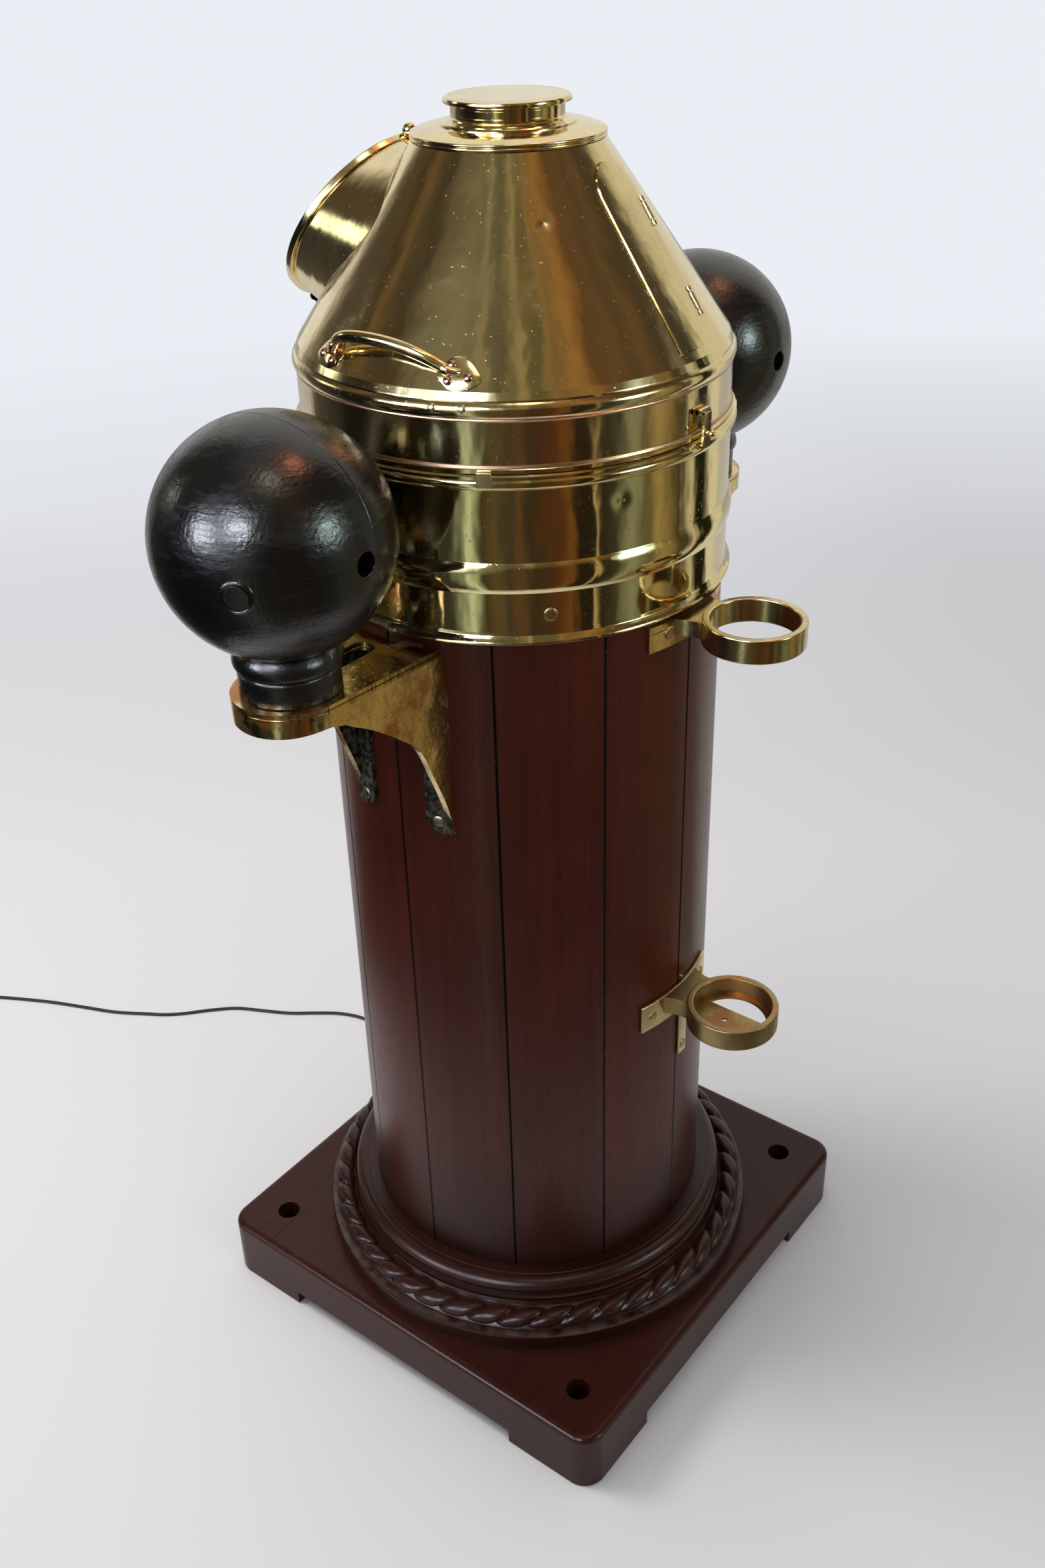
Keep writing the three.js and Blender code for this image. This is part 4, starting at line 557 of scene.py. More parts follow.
def black_paint(name, rough, shine, seam=0.0):
    """Black gloss paint laid on with a brush: level strokes, small runs, dust, pale scratches and a
    scuffed foot under the necks. A seam is the height of the step where two coats meet, down a plane
    through the middle of each sphere."""
    f = Finish(name)
    spot = f.place()
    strokes = f.noise(f.place((14, 14, 190)), 1.0, 3, 0.6)
    dust = f.noise(spot, 620, 2).over(0.66, 0.76)
    smear = f.noise(spot, 9, 4, 0.6).over(0.45, 0.75)
    brushed = f.noise(f.place((9, 30, 120)), 1.0, 4, 0.7, 0.8).over(0.50, 0.72)
    scratch = f.noise(f.place((38, 260, 60)), 1.0, 4, 0.75, 0.6).over(0.72, 0.76)
    worn = dust * 0.3 + scratch * 0.4 + smear * 0.05
    shade = f.mix(worn, (0.0035, 0.004, 0.0045), (0.075, 0.078, 0.08))
    foot = (1 - f.split(spot)[2].over(0.936, 0.944)) * f.noise(spot, 150, 4, 0.7).over(0.45, 0.60)
    shade = f.mix(foot * 0.7, shade, (0.11, 0.10, 0.06))
    height = strokes * 0.00022 + f.noise(spot, 20, 2) * 0.0005
    height = height + (f.noise(spot, 280, 3, 0.6) + f.noise(spot, 90, 3, 0.6)) * 0.00026
    if seam:
        x, y, _ = f.split(spot)
        side = x.math("SIGN", x)
        across = (x.math("ABSOLUTE", x) - SPHERE_AT / 1000) * -0.99 + y * side * -0.14
        height = height + across.over(-0.0006, 0.0006) * seam
    return f.shade(Base_Color=shade, Roughness=smear * 0.10 + brushed * 0.16 + rough,
                   Normal=f.relief(height), Specular_IOR_Level=shine)


def wood(name, light, deep, gloss, grain=(70, 70, 1.6), streak=0.5, sheen=0.35, ring=False, joints=False,
         wax=()):
    """Varnished mahogany: long streaks and short pores along the grain, and varnish that is thicker in
    places. On a turned ring the grain runs round it, so the angle takes the place of the height.
    joints darkens the lines where the staves meet, and paints shade on the column's foot,
    which grows darker towards the bottom; pale wax stays at the wax heights, in metres."""
    f = Finish(name)
    x, y, z = f.split(f.place())
    angle = x.math("ARCTAN2", y, x)
    spot = f.joined((x * x + y * y) ** 0.5, z, angle * 0.24) if ring else f.place()
    board = f.node("ShaderNodeAttribute", {"attribute_name": "board"}, output=2)
    spot = f.vector("ADD", spot, f.joined(board * 0.37, board * 0.11, board * 0.9))
    streaks = f.noise(f.stretched(spot, grain), 1.0, 5, 0.62, 0.5)
    fine = f.noise(f.stretched(spot, [g * 6 for g in grain]), 1.0, 3, 0.6)
    pores = f.noise(f.stretched(spot, [g * n for g, n in zip(grain, (9, 9, 22))]), 1.0, 2)
    pores = pores.over(0.60, 0.72)
    cloud = f.noise(spot, 5, 3, 0.55)
    tone = streaks * streak + fine * 0.25 + cloud * 0.45 + board.math("FRACT", board * 0.618) * 0.16
    shade = f.mix(tone.over(0.32, 0.92), deep, light)
    shade = f.mix(pores * 0.55, shade, tuple(c * 0.35 for c in deep))
    if joints:
        # Painted shade: the staves grow darker from 300 mm down to 150 mm at the column's foot.
        shade = f.mix((1 - z.over(0.15, 0.30)) * 0.88, shade, (0.016, 0.006, 0.004))
        ragged = f.noise(f.place((260, 260, 60)), 1.0, 4, 0.7)
        from_joint = x.math("PINGPONG", angle, math.radians(STAVE_ANGLE / 2)) * (COLUMN / 1000)
        joint = 1 - (from_joint - ragged * 0.0014).over(0.0004, 0.0012)
        flecks = joint * f.noise(spot, 260, 2).over(0.66, 0.72)
        shade = f.mix(joint * 0.92, shade, (0.004, 0.003, 0.003))
        shade = f.mix(flecks * 0.5, shade, (0.16, 0.13, 0.11))
    for level in wax:
        left = f.line_at(level) * f.noise(spot, 60, 3).over(0.3, 0.6)
        shade = f.mix(left * 0.5, shade, (0.13, 0.10, 0.08))
    height = pores * -0.00004 + streaks * 0.00003 + f.noise(spot, 34, 2) * 0.00006
    return f.shade(Base_Color=shade, Roughness=cloud * 0.14 + pores * 0.15 + gloss,
                   Normal=f.relief(height), Specular_IOR_Level=sheen)


def plain_metal(name, colour, rough):
    """Small metal pieces: one metal with rubbed high spots."""
    f = Finish(name)
    worn = f.noise(f.place(), 240, 3, 0.6)
    shade = f.mix(worn, colour, tuple(c * 0.55 for c in colour))
    return f.shade(Base_Color=shade, Metallic=1.0, Roughness=worn * 0.2 + rough,
                   Normal=f.relief(worn * 0.00006))


def glass():
    """Clear glass with a faint film of dust."""
    f = Finish("clear glass")
    dust = f.noise(f.place(), 60, 4, 0.6)
    return f.shade(Base_Color=(0.9, 0.95, 0.93), Roughness=dust * 0.06, Alpha=dust * 0.06 + 0.14,
                   IOR=1.45, Coat_Weight=1.0, Coat_Roughness=0.02)


def card_face():
    """Compass card: a degree ring with a mark for each degree, longer ones for each ten, and a star of
    eight points, all worked out from the distance and the angle about the middle."""
    f = Finish("compass card")
    x, y, _ = f.split(f.place())
    radius = (x * x + y * y) ** 0.5 * 1000
    angle = x.math("ARCTAN2", x, y) * (180 / math.pi)

    def near(step, width):
        """1 where the angle is within a width of a whole number of steps."""
        part = x.math("PINGPONG", angle, step / 2)
        return 1 - part.over(width, width + 0.12)

    def band(low, high):
        """1 between two radii."""
        return radius.over(low, low + 0.3) * (1 - radius.over(high, high + 0.3))

    fold = x.math("PINGPONG", angle, 45)
    star = band(6, 78) * (1 - (radius / 78 + fold / 24).over(1.0, 1.02))
    half_fold = x.math("PINGPONG", angle + 45, 45)
    small_star = band(6, 56) * (1 - (radius / 56 + half_fold / 26).over(1.0, 1.02))
    ticks = x.math("MAXIMUM", near(1, 0.16) * band(97, 101), near(10, 0.4) * band(91, 101))
    rings = x.math("MAXIMUM", band(101.4, 102), band(90, 90.5))
    ink = x.math("MAXIMUM", x.math("MAXIMUM", ticks, rings), x.math("MAXIMUM", star, small_star * 0.7))
    paper = f.mix(f.noise(f.place(), 40, 4), (0.72, 0.66, 0.50), (0.60, 0.52, 0.36))
    return f.shade(Base_Color=f.mix(ink, paper, (0.02, 0.018, 0.016)), Roughness=0.6)


def rubber():
    """Matt black cord covering, scuffed and dusty."""
    f = Finish("black cord")
    scuff = f.noise(f.place(), 300, 4, 0.6)
    shade = f.mix(scuff.over(0.5, 0.8) * 0.5, (0.012, 0.012, 0.013), (0.06, 0.058, 0.055))
    return f.shade(Base_Color=shade, Roughness=scuff * 0.25 + 0.38, Normal=f.relief(scuff * 0.00004))


HOOD_BRASS = brass("polished brass", (0.82, 0.69, 0.40), (0.46, 0.32, 0.14), 0.06, 0.0030,
                   dents=[((0.0743, 0.0918, 1.281), 0.013, 0.0010),
                          ((0.150, 0.020, 1.212), 0.03, 0.0006)])
CASING_BRASS = brass("casing brass", (0.82, 0.70, 0.38), (0.42, 0.30, 0.12), 0.025, 0.0026, 0.08, 0.25,
                     dents=[((0.0889, 0.1806, 1.066), 0.014, 0.0014),
                            ((0.1425, 0.1425, 1.045), 0.045, 0.0007)])
TRIM_BRASS = brass("trim brass", (0.84, 0.70, 0.40), (0.46, 0.30, 0.12), 0.07, 0.0003, 0.12)
BRACKET_BRASS = cast_brass("bracket brass", (0.78, 0.62, 0.32), (0.48, 0.33, 0.14), 0.08, 0.9,
                           sag=0.0016, seam=0.9305)
SOCKET_BRASS = cast_brass("socket brass", (0.72, 0.60, 0.34), (0.40, 0.30, 0.15), 0.15, 0.3)
CUP_BRASS = cast_brass("tarnished brass", (0.42, 0.31, 0.14), (0.13, 0.10, 0.06), 0.28, 0.5)
COPPER = plain_metal("copper rivets", (0.74, 0.42, 0.36), 0.14)
SOLDER = plain_metal("solder line", (0.72, 0.46, 0.30), 0.22)
PALE_BRASS = plain_metal("pale brass", (0.90, 0.76, 0.46), 0.20)
SCREW_BRASS = plain_metal("screw brass", (0.68, 0.52, 0.26), 0.25)
STEEL = plain_metal("bare steel", (0.42, 0.41, 0.39), 0.32)
IRON = plain_metal("magnet iron", (0.16, 0.155, 0.15), 0.42)
WORN_SCREW = plain_metal("painted screw, worn bright", (0.34, 0.30, 0.25), 0.30)
BLACK = black_paint("black paint", 0.21, 0.75, 0.0004)
BLACK_CAST = black_paint("black paint on casting", 0.38, 0.25)
STAVE_WOOD = wood("column mahogany", (0.085, 0.013, 0.005), (0.016, 0.0032, 0.0018), 0.24, sheen=0.3,
                  joints=True)
RING_WOOD = wood("turned mahogany", (0.048, 0.012, 0.007), (0.014, 0.004, 0.003), 0.27, (60, 60, 9), 0.35,
                 ring=True, wax=(0.0805, 0.1012))
BASE_WOOD = wood("base mahogany", (0.062, 0.014, 0.009), (0.026, 0.007, 0.005), 0.22, (1.4, 40, 40), 0.2,
                 sheen=0.22)
INSIDE_WOOD = wood("inside mahogany", (0.16, 0.05, 0.025), (0.06, 0.018, 0.01), 0.45, (1.6, 60, 60))
GLASS = glass()
CARD = card_face()
CORD = rubber()


# Cord of the lamp: a flat twin lead on the floor that ends in a coil and a plug

CORD_WIDTH = 5.5
CORD_THICK = 3.2
CORD_LOW = CORD_THICK / 2 + 0.05
# The lead's route from the gland: x, y and height above where it lies on the floor
CORD_ROUTE = [
    (-110, -262.3, 4.35), (-110, -270, 3.6), (-110.5, -285, 1.8), (-113, -305, 0.4), (-120, -335, 0),
    (-136, -368, 0), (-155, -402, 0), (-170, -438, 0), (-173, -470, 0), (-161, -505, 0),
    (-140, -537, 0), (-116, -570, 0), (-96, -608, 0), (-76, -646, 0), (-49, -676, 0),
    (-19, -704, 0), (0, -726, 0), (15, -750, 0), (31, -776, 0), (45, -802, 0), (64, -848, 0),
    (84, -895, 0), (104, -935, 0), (125, -974, 0), (136.5, -996.2, 0), (148, -1018.4, 0),
]
COIL_TURNS = 6
COIL_PITCH = 6.3
COIL_INNER = 20.5
COIL_TAIL = 36
PLUG_HEIGHT = 9.05  # of the plug's middle over the floor


def cord_path():
    """Line of the whole cord: a smooth curve through the route, a spiral that winds in on the floor,
    climbs one layer and winds out on top, and a straight tail that rises to the plug."""
    route = np.array(CORD_ROUTE, float)
    lead = flowing(route + [0, 0, CORD_LOW], 420)
    heading = route[-1, :2] - route[-2, :2]
    heading /= np.linalg.norm(heading)
    side = np.array([-heading[1], heading[0]])
    outer = COIL_INNER + COIL_PITCH * COIL_TURNS / 2
    middle = route[-1, :2] + heading * (GAP + CORD_WIDTH) + side * outer
    turn = np.linspace(0, COIL_TURNS, 60 * COIL_TURNS + 1)
    from_middle = turn - COIL_TURNS / 2
    radius = COIL_INNER + COIL_PITCH * np.abs(from_middle)
    climb = np.clip(from_middle * 2 + 0.5, 0, 1)
    angle = math.atan2(-side[1], -side[0]) + turn * 2 * math.pi
    height = CORD_LOW + (CORD_THICK + 0.1) * climb**2 * (3 - 2 * climb)
    coil = np.stack([middle[0] + radius * np.cos(angle), middle[1] + radius * np.sin(angle), height], -1)
    away = coil[-1] - coil[-2]
    away /= np.linalg.norm(away)
    share = np.linspace(0, 1, 13)[1:, None]
    tail = coil[-1] + away * COIL_TAIL * share
    tail[:, 2:] += (PLUG_HEIGHT - coil[-1, 2]) * share**2 * (3 - 2 * share)
    return np.concatenate([lead, coil, tail]), away


def make_cord():
    """Cord with a narrow waist between its two cores; a plug that narrows to a sleeve, with two flat
    blades; and the clip that holds the cord under the base."""
    path, away = cord_path()
    angle = np.linspace(0, 2 * math.pi, 20, endpoint=False)
    waist = 1 - 0.24 * np.abs(np.sin(angle)) ** 6
    section = np.stack([CORD_WIDTH / 2 * np.cos(angle), CORD_THICK / 2 * np.sin(angle) * waist], -1)
    cord = piece("cord", carried(section, path), CORD, "pedestal", "cord_lead", "cord_coil",
                 slot="cord_rubber")
    heading = [away[0], away[1], 0]
    side = np.cross([0, 0, 1], heading)
    end = [*path[-1, :2], PLUG_HEIGHT]
    along = np.array([0.3, 2, 5, 9, 13, 17, 22, 27, 30])
    half_wide = [4.2, 5.4, 5.8, 6.6, 8.6, 10.4, 11, 11, 10.2]
    half_high = [3.6, 4.6, 5.0, 5.8, 7.2, 8.4, 8.95, 8.95, 8.2]
    corner = arc(0, 0, 1, 0, 360, 40)[:-1]
    square = np.sign(corner) * np.abs(corner) ** 0.5
    shell = stacked(square * np.stack([half_wide, half_high], -1)[:, None], along)
    blades = [block((x - 0.75, -3.15, 15), (x + 0.75, 3.15, 46.3)) for x in (-6.35, 6.35)]
    parts = [laid(part, end, heading, side) for part in (shell, together(*blades))]
    plug = piece("plug", parts, [CORD, STEEL], "pedestal", "cord_plug", slot="cord_rubber", bevel=0.3)
    gland = together(block((-120, -262, 2), (-100, -246, 19.2)),
                     rod(5.2, (-110, -262.25, 6.0), (-110, -261, 6.0)))
    piece("cord_clip", gland, CORD, "pedestal", "cord_gland", slot="cord_rubber", bevel=0.8)


# Base and the mouldings at the column's foot

def make_base():
    """Board whose outline is a square with rounded corners: rows draw it in by an inset while they climb
    the side, go over the rounded edge and cross the top to the round well."""
    corner, brow = 26, 8  # radii of its corners and of its upper edge
    angle = np.radians(np.linspace(0, 90, 15)[None] + np.arange(4)[:, None] * 90)
    direction = np.stack([np.cos(angle), np.sin(angle)], -1).reshape(-1, 2)
    centre = np.array([[1, 1], [-1, 1], [-1, -1], [1, -1]]) * (BASE_HALF - corner)
    middle = np.repeat(centre, 15, 0)
    edge = np.radians(np.linspace(0, 90, 9))
    inset = np.concatenate([[1.2, 0, 0, 0], brow * (1 - np.cos(edge)), [10, 14]])
    height = np.concatenate([[0, 1.2, 3, 69], BASE_TOP - brow + brow * np.sin(edge), [BASE_TOP] * 2])
    outer = middle + direction * (corner - inset)[:, None, None]
    outer = np.concatenate([outer, np.broadcast_to(height[:, None, None], (len(height), 60, 1))], 2)
    around = np.degrees(np.arctan2(outer[0, :, 1], outer[0, :, 0]))
    well = np.stack([polar(BASE_WELL, around, z) for z in (BASE_TOP, 0.0)])
    board = surface(np.concatenate([outer, well]), wrap=True, loop=True)
    channel, reach = 165, 300  # half-width and half-length of the two channels underneath
    cuts = [block((-reach, -channel, -5), (reach, channel, 19.5)),
            block((-channel, -reach, -5), (channel, reach, 19.5))]
    bolts = [(x, y) for x in (-BOLT_AT, BOLT_AT) for y in (-BOLT_AT, BOLT_AT)]
    cuts += [rod(BOLT_HOLE, (x, y, -5), (x, y, 90), sides=48) for x, y in bolts]
    piece("base_board", board, BASE_WOOD, "pedestal", "base_plate", slot="base_wood", cuts=cuts,
          crease=40)
    rim = turned([[13.45, 79.2], [13.45, 80.05], [14.4, 80.05], [14.4, 79.2]], 48)
    rims = together(*(shifted(rim, x, y) for x, y in bolts))
    piece("bolt_hole_rims", rims, BASE_WOOD, "pedestal", slot="base_wood")


def make_mouldings():
    """Plinth, rope moulding on its bed, and half-round, one on the other."""
    plinth = [[SEAT, PLINTH_FOOT], [PLINTH, PLINTH_FOOT], [PLINTH, 98.6], [260.4, 100.2],
              [258.8, PLINTH_TOP], [SEAT, PLINTH_TOP]]
    piece("plinth", turned(plinth, 192), RING_WOOD, "pedestal", "plinth_ring", slot="column_wood")
    bed = [[SEAT, PLINTH_TOP + GAP], [250.5, PLINTH_TOP + GAP], [249, 103.4], [246, 107], [236, 113],
           [229, 117.5], [226.6, 122], [226.6, ROPE_TOP], [SEAT, ROPE_TOP]]
    piece("rope_moulding", [turned(rounded(bed, 0.5), 192), rope()], RING_WOOD, "pedestal", "rope_ring",
          slot="column_wood", crease=50)
    ring = [[SEAT, ROPE_TOP + GAP], [227, ROPE_TOP + GAP], [227, 126.2], [222.6, 128]]
    ring += arc(214.8, 137.6, 11.6, -50, 92, 24).tolist()
    ring += [[212.4, 148.6], [211.2, 148.9], [210.8, HALF_ROUND_TOP], [SEAT, HALF_ROUND_TOP]]
    piece("half_round", turned(ring, 192), RING_WOOD, "pedestal", "torus_ring", slot="column_wood")


def rope():
    """Carved rope: a ring whose round section swells on each lobe with the square root of what is left of
    one after a power of the distance across the lobe and the fourth power of the angle from its
    crown. The lobes lean as they go over the section."""
    lobes, lean, first = 44, 1.7, -8.7
    crown, half_length = 52, 118  # degrees over the section
    angle = np.linspace(0, 360, lobes * 22, endpoint=False)[None]
    over = np.linspace(-180, 180, 61)[:-1, None]
    phase = lobes * (angle - first) / 360 - lean * (over - 40) / 360
    across = 2 * np.abs(phase - np.round(phase))
    left = np.clip(1 - 0.98 * across**2.6 - ((over - crown) / half_length) ** 4, 0, 1)
    radius = ROPE * (0.46 + 0.54 * np.sqrt(left))
    ring = ROPE_RING + radius * np.cos(np.radians(over))
    height = ROPE_HEIGHT + radius * np.sin(np.radians(over))
    return surface(polar(ring, angle, height), wrap=True, loop=True)


# Column of twelve staves, with a door at the back

# Opening for the door: its two angles in degrees and its two heights
DOOR_CUT = (248, 292, 330, 700)


def make_column():
    """Twelve staves, whose outer corners are cut back so that the seams between them show as grooves; the
    door with its knob; and its hinge with five barrels and five screws."""
    outer_edge, neck_edge, inner_edge = (
        STAVE_ANGLE / 2 - math.degrees(gap / radius)
        for gap, radius in ((1.35, COLUMN), (0.15, COLUMN), (0.15, STAVE_INNER)))
    neck = polar(COLUMN - 1.2, np.array([-neck_edge, neck_edge]), 0)[:, :2]
    section = np.concatenate([neck[:1], arc(0, 0, COLUMN, -outer_edge, outer_edge, 20), neck[1:],
                              arc(0, 0, STAVE_INNER, inner_edge, -inner_edge, 8)])
    stave = stacked(section, [PLINTH_FOOT, 82, 400, 700, 963, STAVE_TOP], (STAVE_MIDDLE, 0))
    opening = plate(STAVE_INNER - 12, COLUMN + 12, *DOOR_CUT)
    for number in range(12):
        middle = (number + 0.5) * STAVE_ANGLE
        cuts = [opening] if middle in (255, 285) else ()
        label = f"stave_{number + 1:02d}"
        piece(f"{label}_wood", spun(stave, middle), STAVE_WOOD, "pedestal", label,
              slot="column_wood", cuts=cuts, board=number * 0.37 + 0.2)
    door = plate(STAVE_INNER, COLUMN, 248.29, 291.71, 331, 699, rows=3)
    piece("door_of_column", door, STAVE_WOOD, "column_door", "column_door", slot="column_wood", bevel=1.0,
          board=7.7)
    knob = turned(rounded([[0, 0], [5.5, 0], [4, 4], [7.5, 8], [6.5, 11], [0, 12.5]], 1.2, False), 32)
    pull = [plate(COLUMN, COLUMN + 1.2, 284.5, 289.5, 497, 533),
            laid(knob, polar(COLUMN + 1, 287, 515), polar(1, 287, 0))]
    piece("door_knob", together(*pull), TRIM_BRASS, "column_door", slot="cast_brass", bevel=0.4)
    leaf = plate(SEAT, SEAT + 2, 242.8, 248, 350, 680)
    barrels = [rod(4, polar(202.8, 248, low + 0.4), polar(202.8, 248, low + 65.6))
               for low in range(350, 680, 66)]
    screws = [screw_at(SEAT + 2, 244.6, z, 3.2) for z in (370, 440, 515, 590, 660)]
    piece("column_door_hinge", [together(leaf, *barrels), together(*screws)], [TRIM_BRASS, SCREW_BRASS],
          "pedestal", "column_hinge", slot="cast_brass", bevel=0.3)


# Fixings

def screw_head(radius, rise=None, slot_turn=20.0):
    """Slotted round head: two halves of a dome that stop short of the slot, on a low bed under it."""
    rise = rise or radius * 0.45
    slot_edge = radius * 0.13
    share = np.linspace(0, 1, 6)
    half_turn = arc(0, 0, 1, 0, 180, 20)
    rows = [np.c_[half_turn * radius * r, np.full(21, z)]
            for r, z in zip(np.sqrt(1 - share**2 * 0.94), share * rise)]
    dome = np.stack([rows[0] * 0, *rows, rows[0] * 0 + [0, 0, rise]])
    dome[..., 1] = np.maximum(dome[..., 1], slot_edge)
    halves = [surface(dome * [1, end, 1], wrap=True) for end in (-1, 1)]
    bed = turned([[0, 0], [radius * 0.97, 0], [radius * 0.93, rise * 0.3], [0, rise * 0.34]], 24)
    return spun(together(*halves, bed), slot_turn)


def screw_at(radius, degrees, height, size, rise=None, slot_turn=20.0):
    """Screw head on an upright round surface."""
    return laid(screw_head(size, rise, slot_turn), polar(radius, degrees, height), polar(1, degrees, 0),
                [0, 0, 1])


def rivet_head(radius, rise):
    """Dome of revolution: a quarter ellipse from the rim to the crown."""
    angle = np.radians(np.linspace(0, 90, 8))
    dome = np.stack([radius * np.cos(angle), rise * np.sin(angle)], -1)
    return turned([[0, 0], *dome[:-1].tolist(), [0, rise]], 24)


# Deck, magnets and gimbals inside

def make_inside():
    """Magnet shelf with its magnet, deck, heeling tube and bucket, the two forks and the gimbal hoop."""
    shelf = washer(48, STAVE_INNER - GAP, 430, 455, 1.0, 96)
    piece("magnet_shelf", shelf, INSIDE_WOOD, "pedestal", "magnet_tray", slot="column_wood")
    piece("bar_magnet", block((-100, 84, 455.3), (100, 96, 467.3)), IRON, "pedestal", "corrector_magnet",
          slot="bare_iron", bevel=0.8)
    deck = washer(42.3, COLUMN, 965.3, DECK_TOP, 0.8)
    piece("deck", deck, INSIDE_WOOD, "pedestal", "deck_plate", slot="column_wood")
    rest = DECK_TOP + GAP
    tube = rounded([[39.5, 620], [42, 620], [42, rest], [60, rest], [60, 981], [39.5, 981]], 0.6)
    piece("heeling_magnet_tube", turned(tube, 96), TRIM_BRASS, "pedestal", "heeling_tube",
          slot="hood_brass")
    bucket = rounded([[0, 720], [39.2, 720], [39.2, 840], [37.2, 840], [37.2, 722], [0, 722]], 0.5, False)
    piece("magnet_bucket", turned(bucket, 96), CUP_BRASS, "heeling_bucket", "heeling_bucket",
          slot="cast_brass")
    fork = block((160, -15, 1040), (197.9, 15, 1084))
    cuts = [rod(PIN_HOLE, (150, 0, PIVOT), (210, 0, PIVOT)),
            block((150, -PIN_HOLE, PIVOT), (210, PIN_HOLE, 1100)),
            ring_outside(COLUMN - 0.1, 1020, 1100)]
    for name, turn in (("right", 0), ("left", 180)):
        piece(f"gimbal_fork_{name}", spun(fork, turn), TRIM_BRASS, "pedestal", f"gimbal_bracket_{name}",
              slot="hood_brass", cuts=[spun(cut, turn) for cut in cuts], bevel=0.8)
    eyes = [rod(PIN_HOLE, (0, s * 125, PIVOT), (0, s * 160, PIVOT)) for s in (-1, 1)]
    piece("gimbal_hoop", washer(134, 146, 1070, 1090, 1.2), TRIM_BRASS, "gimbal_ring", "gimbal_ring",
          slot="hood_brass", cuts=eyes)
    pins = [rod(PIN, (start, 0, PIVOT), (start + 52, 0, PIVOT)) for start in (140, -192)]
    piece("gimbal_pins", together(*pins), TRIM_BRASS, "gimbal_ring", slot="hood_brass")
    make_bowl()


def ring_outside(radius, low, high):
    """Ring of space outside a radius, to cut a piece back to a round wall."""
    return turned([[radius, low], [radius + 60, low], [radius + 60, high], [radius, high]])


def make_bowl():
    """Bowl with its window, rim and lubber lines, the card on its needle, and the lamp beside them."""
    side = flowing([[80, 1012], [91, 1018], [103, 1029.6], [114, 1040], [120.5, 1048], [122, 1056]], 28)
    inner = side[::-1] - [3, 0] + [0, 1]
    wall = [[0, 1012], *side.tolist(), [122, 1092], [119, 1092], [119, 1088.7], [114, 1088.7],
            [119, 1083.7], *inner.tolist(), [77, 1015], [0, 1015]]
    stem = [[0, 1014], [16, 1014], [16, 1019], [4, 1023], [4, 1058.7], [2, 1064], [0, 1064]]
    pins = [rod(PIN, (0, s * 120.5, PIVOT), (0, s * 143, PIVOT)) for s in (-1, 1)]
    bowl = together(turned(wall), turned(rounded(stem, 1.0, False), 48), *pins)
    piece("compass_bowl", bowl, TRIM_BRASS, "bowl", "bowl", slot="hood_brass")
    piece("bowl_window", disc(118.6, 1089, 1092, 0.4), GLASS, "bowl", "bowl_glass", slot="clear_glass")
    bezel = [[112, 1092.3], [125, 1092.3], [125, 1096.6], [123.4, 1098], [116, 1098], [112, 1095]]
    screws = [shifted(screw_head(2.6, 0.8, angle), *polar(119.5, angle, 0)[:2], 1096.9)
              for angle in range(15, 375, 45)]
    piece("bowl_rim", [turned(rounded(bezel, 0.6)), together(*screws)], [TRIM_BRASS, SCREW_BRASS], "bowl",
          "bowl_bezel", slot="hood_brass")
    lines = [plate(117, 118.8, middle - 1.4, middle + 1.4, CARD_TOP, 1088) for middle in (270, 90)]
    piece("lubber_lines", together(*lines), BLACK, "bowl", slot="black_iron")
    card = [[0, 1064.3], [105, 1064.3], [105, CARD_TOP], [7, CARD_TOP], [6, 1067.5], [0, 1068]]
    piece("card_disc", turned(rounded(card, 0.3, False)), CARD, "card", "compass_card", slot="card")
    piece("card_needle", block((-6, -60, 1059), (6, 60, 1064)), IRON, "card", "card_magnet",
          slot="bare_iron", bevel=0.6, cuts=[rod(5.7, (0, 0, 1050), (0, 0, 1070))])
    x, y = polar(175, 225, 0)[:2]
    foot = DECK_TOP + GAP
    holder = [[0, foot], [13, foot], [13, 983], [10.5, 985], [10.5, 1012], [12.5, 1014], [12.5, 1020],
              [0, 1020]]
    piece("lamp_socket", shifted(turned(rounded(holder, 0.8, False), 48), x, y), TRIM_BRASS, "pedestal",
          "lamp_holder", slot="hood_brass")
    bulb = flowing([[8.4, 1020.4], [8.8, 1028], [13, 1038], [14, 1047], [11.4, 1060], [5, 1066.6],
                    [0.01, 1068.3]], 30)
    bulb = turned([[0, 1020.4], *bulb.tolist()[:-1], [0, 1068.3]], 48)
    piece("lamp_glass", shifted(bulb, x, y), GLASS, "pedestal", "lamp_bulb", slot="clear_glass")


# Casing round the compass

def make_casing():
    """Casing with a bead round its middle and a rim at its top, four screws and the hood's lug."""
    profile = [[SEAT, 943], [205.2, 943], [206, 944], [205.6, 945.8], [203.6, 948.4], [202, 951],
               [CASING_WALL, 954], [CASING_WALL, 990.6],
               *swelling([201.5, 991], [201.5, 1019], 3.6, 16).tolist(), [CASING_WALL, 1019.4],
               [CASING_WALL, 1085], [203.4, 1085.4],
               *swelling([203.6, 1085.6], [204.6, 1095], 2.4, 12).tolist(), [204.6, 1095.6],
               [205.9, 1096.4], [205.9, 1097.8], [204.8, 1099], [SEAT, 1099]]
    piece("casing", turned(profile, 256), CASING_BRASS, "pedestal", "casing_shell", slot="hood_brass",
          crease=28)
    screws = [screw_at(201.1, degrees, 970, 6.6, 1.7, turn)
              for degrees, turn in ((45.2, 75), (135.2, 10), (225.2, 40), (315.2, 65))]
    piece("casing_screws", together(*screws), SCREW_BRASS, "pedestal", slot="cast_brass")
    lug = plate(202.5, 209.2, 28.3, 31.9, 1089.2, 1102.6)
    piece("locating_lug", lug, PALE_BRASS, "pedestal", slot="cast_brass", bevel=1.3)


# Hood and what stands on it

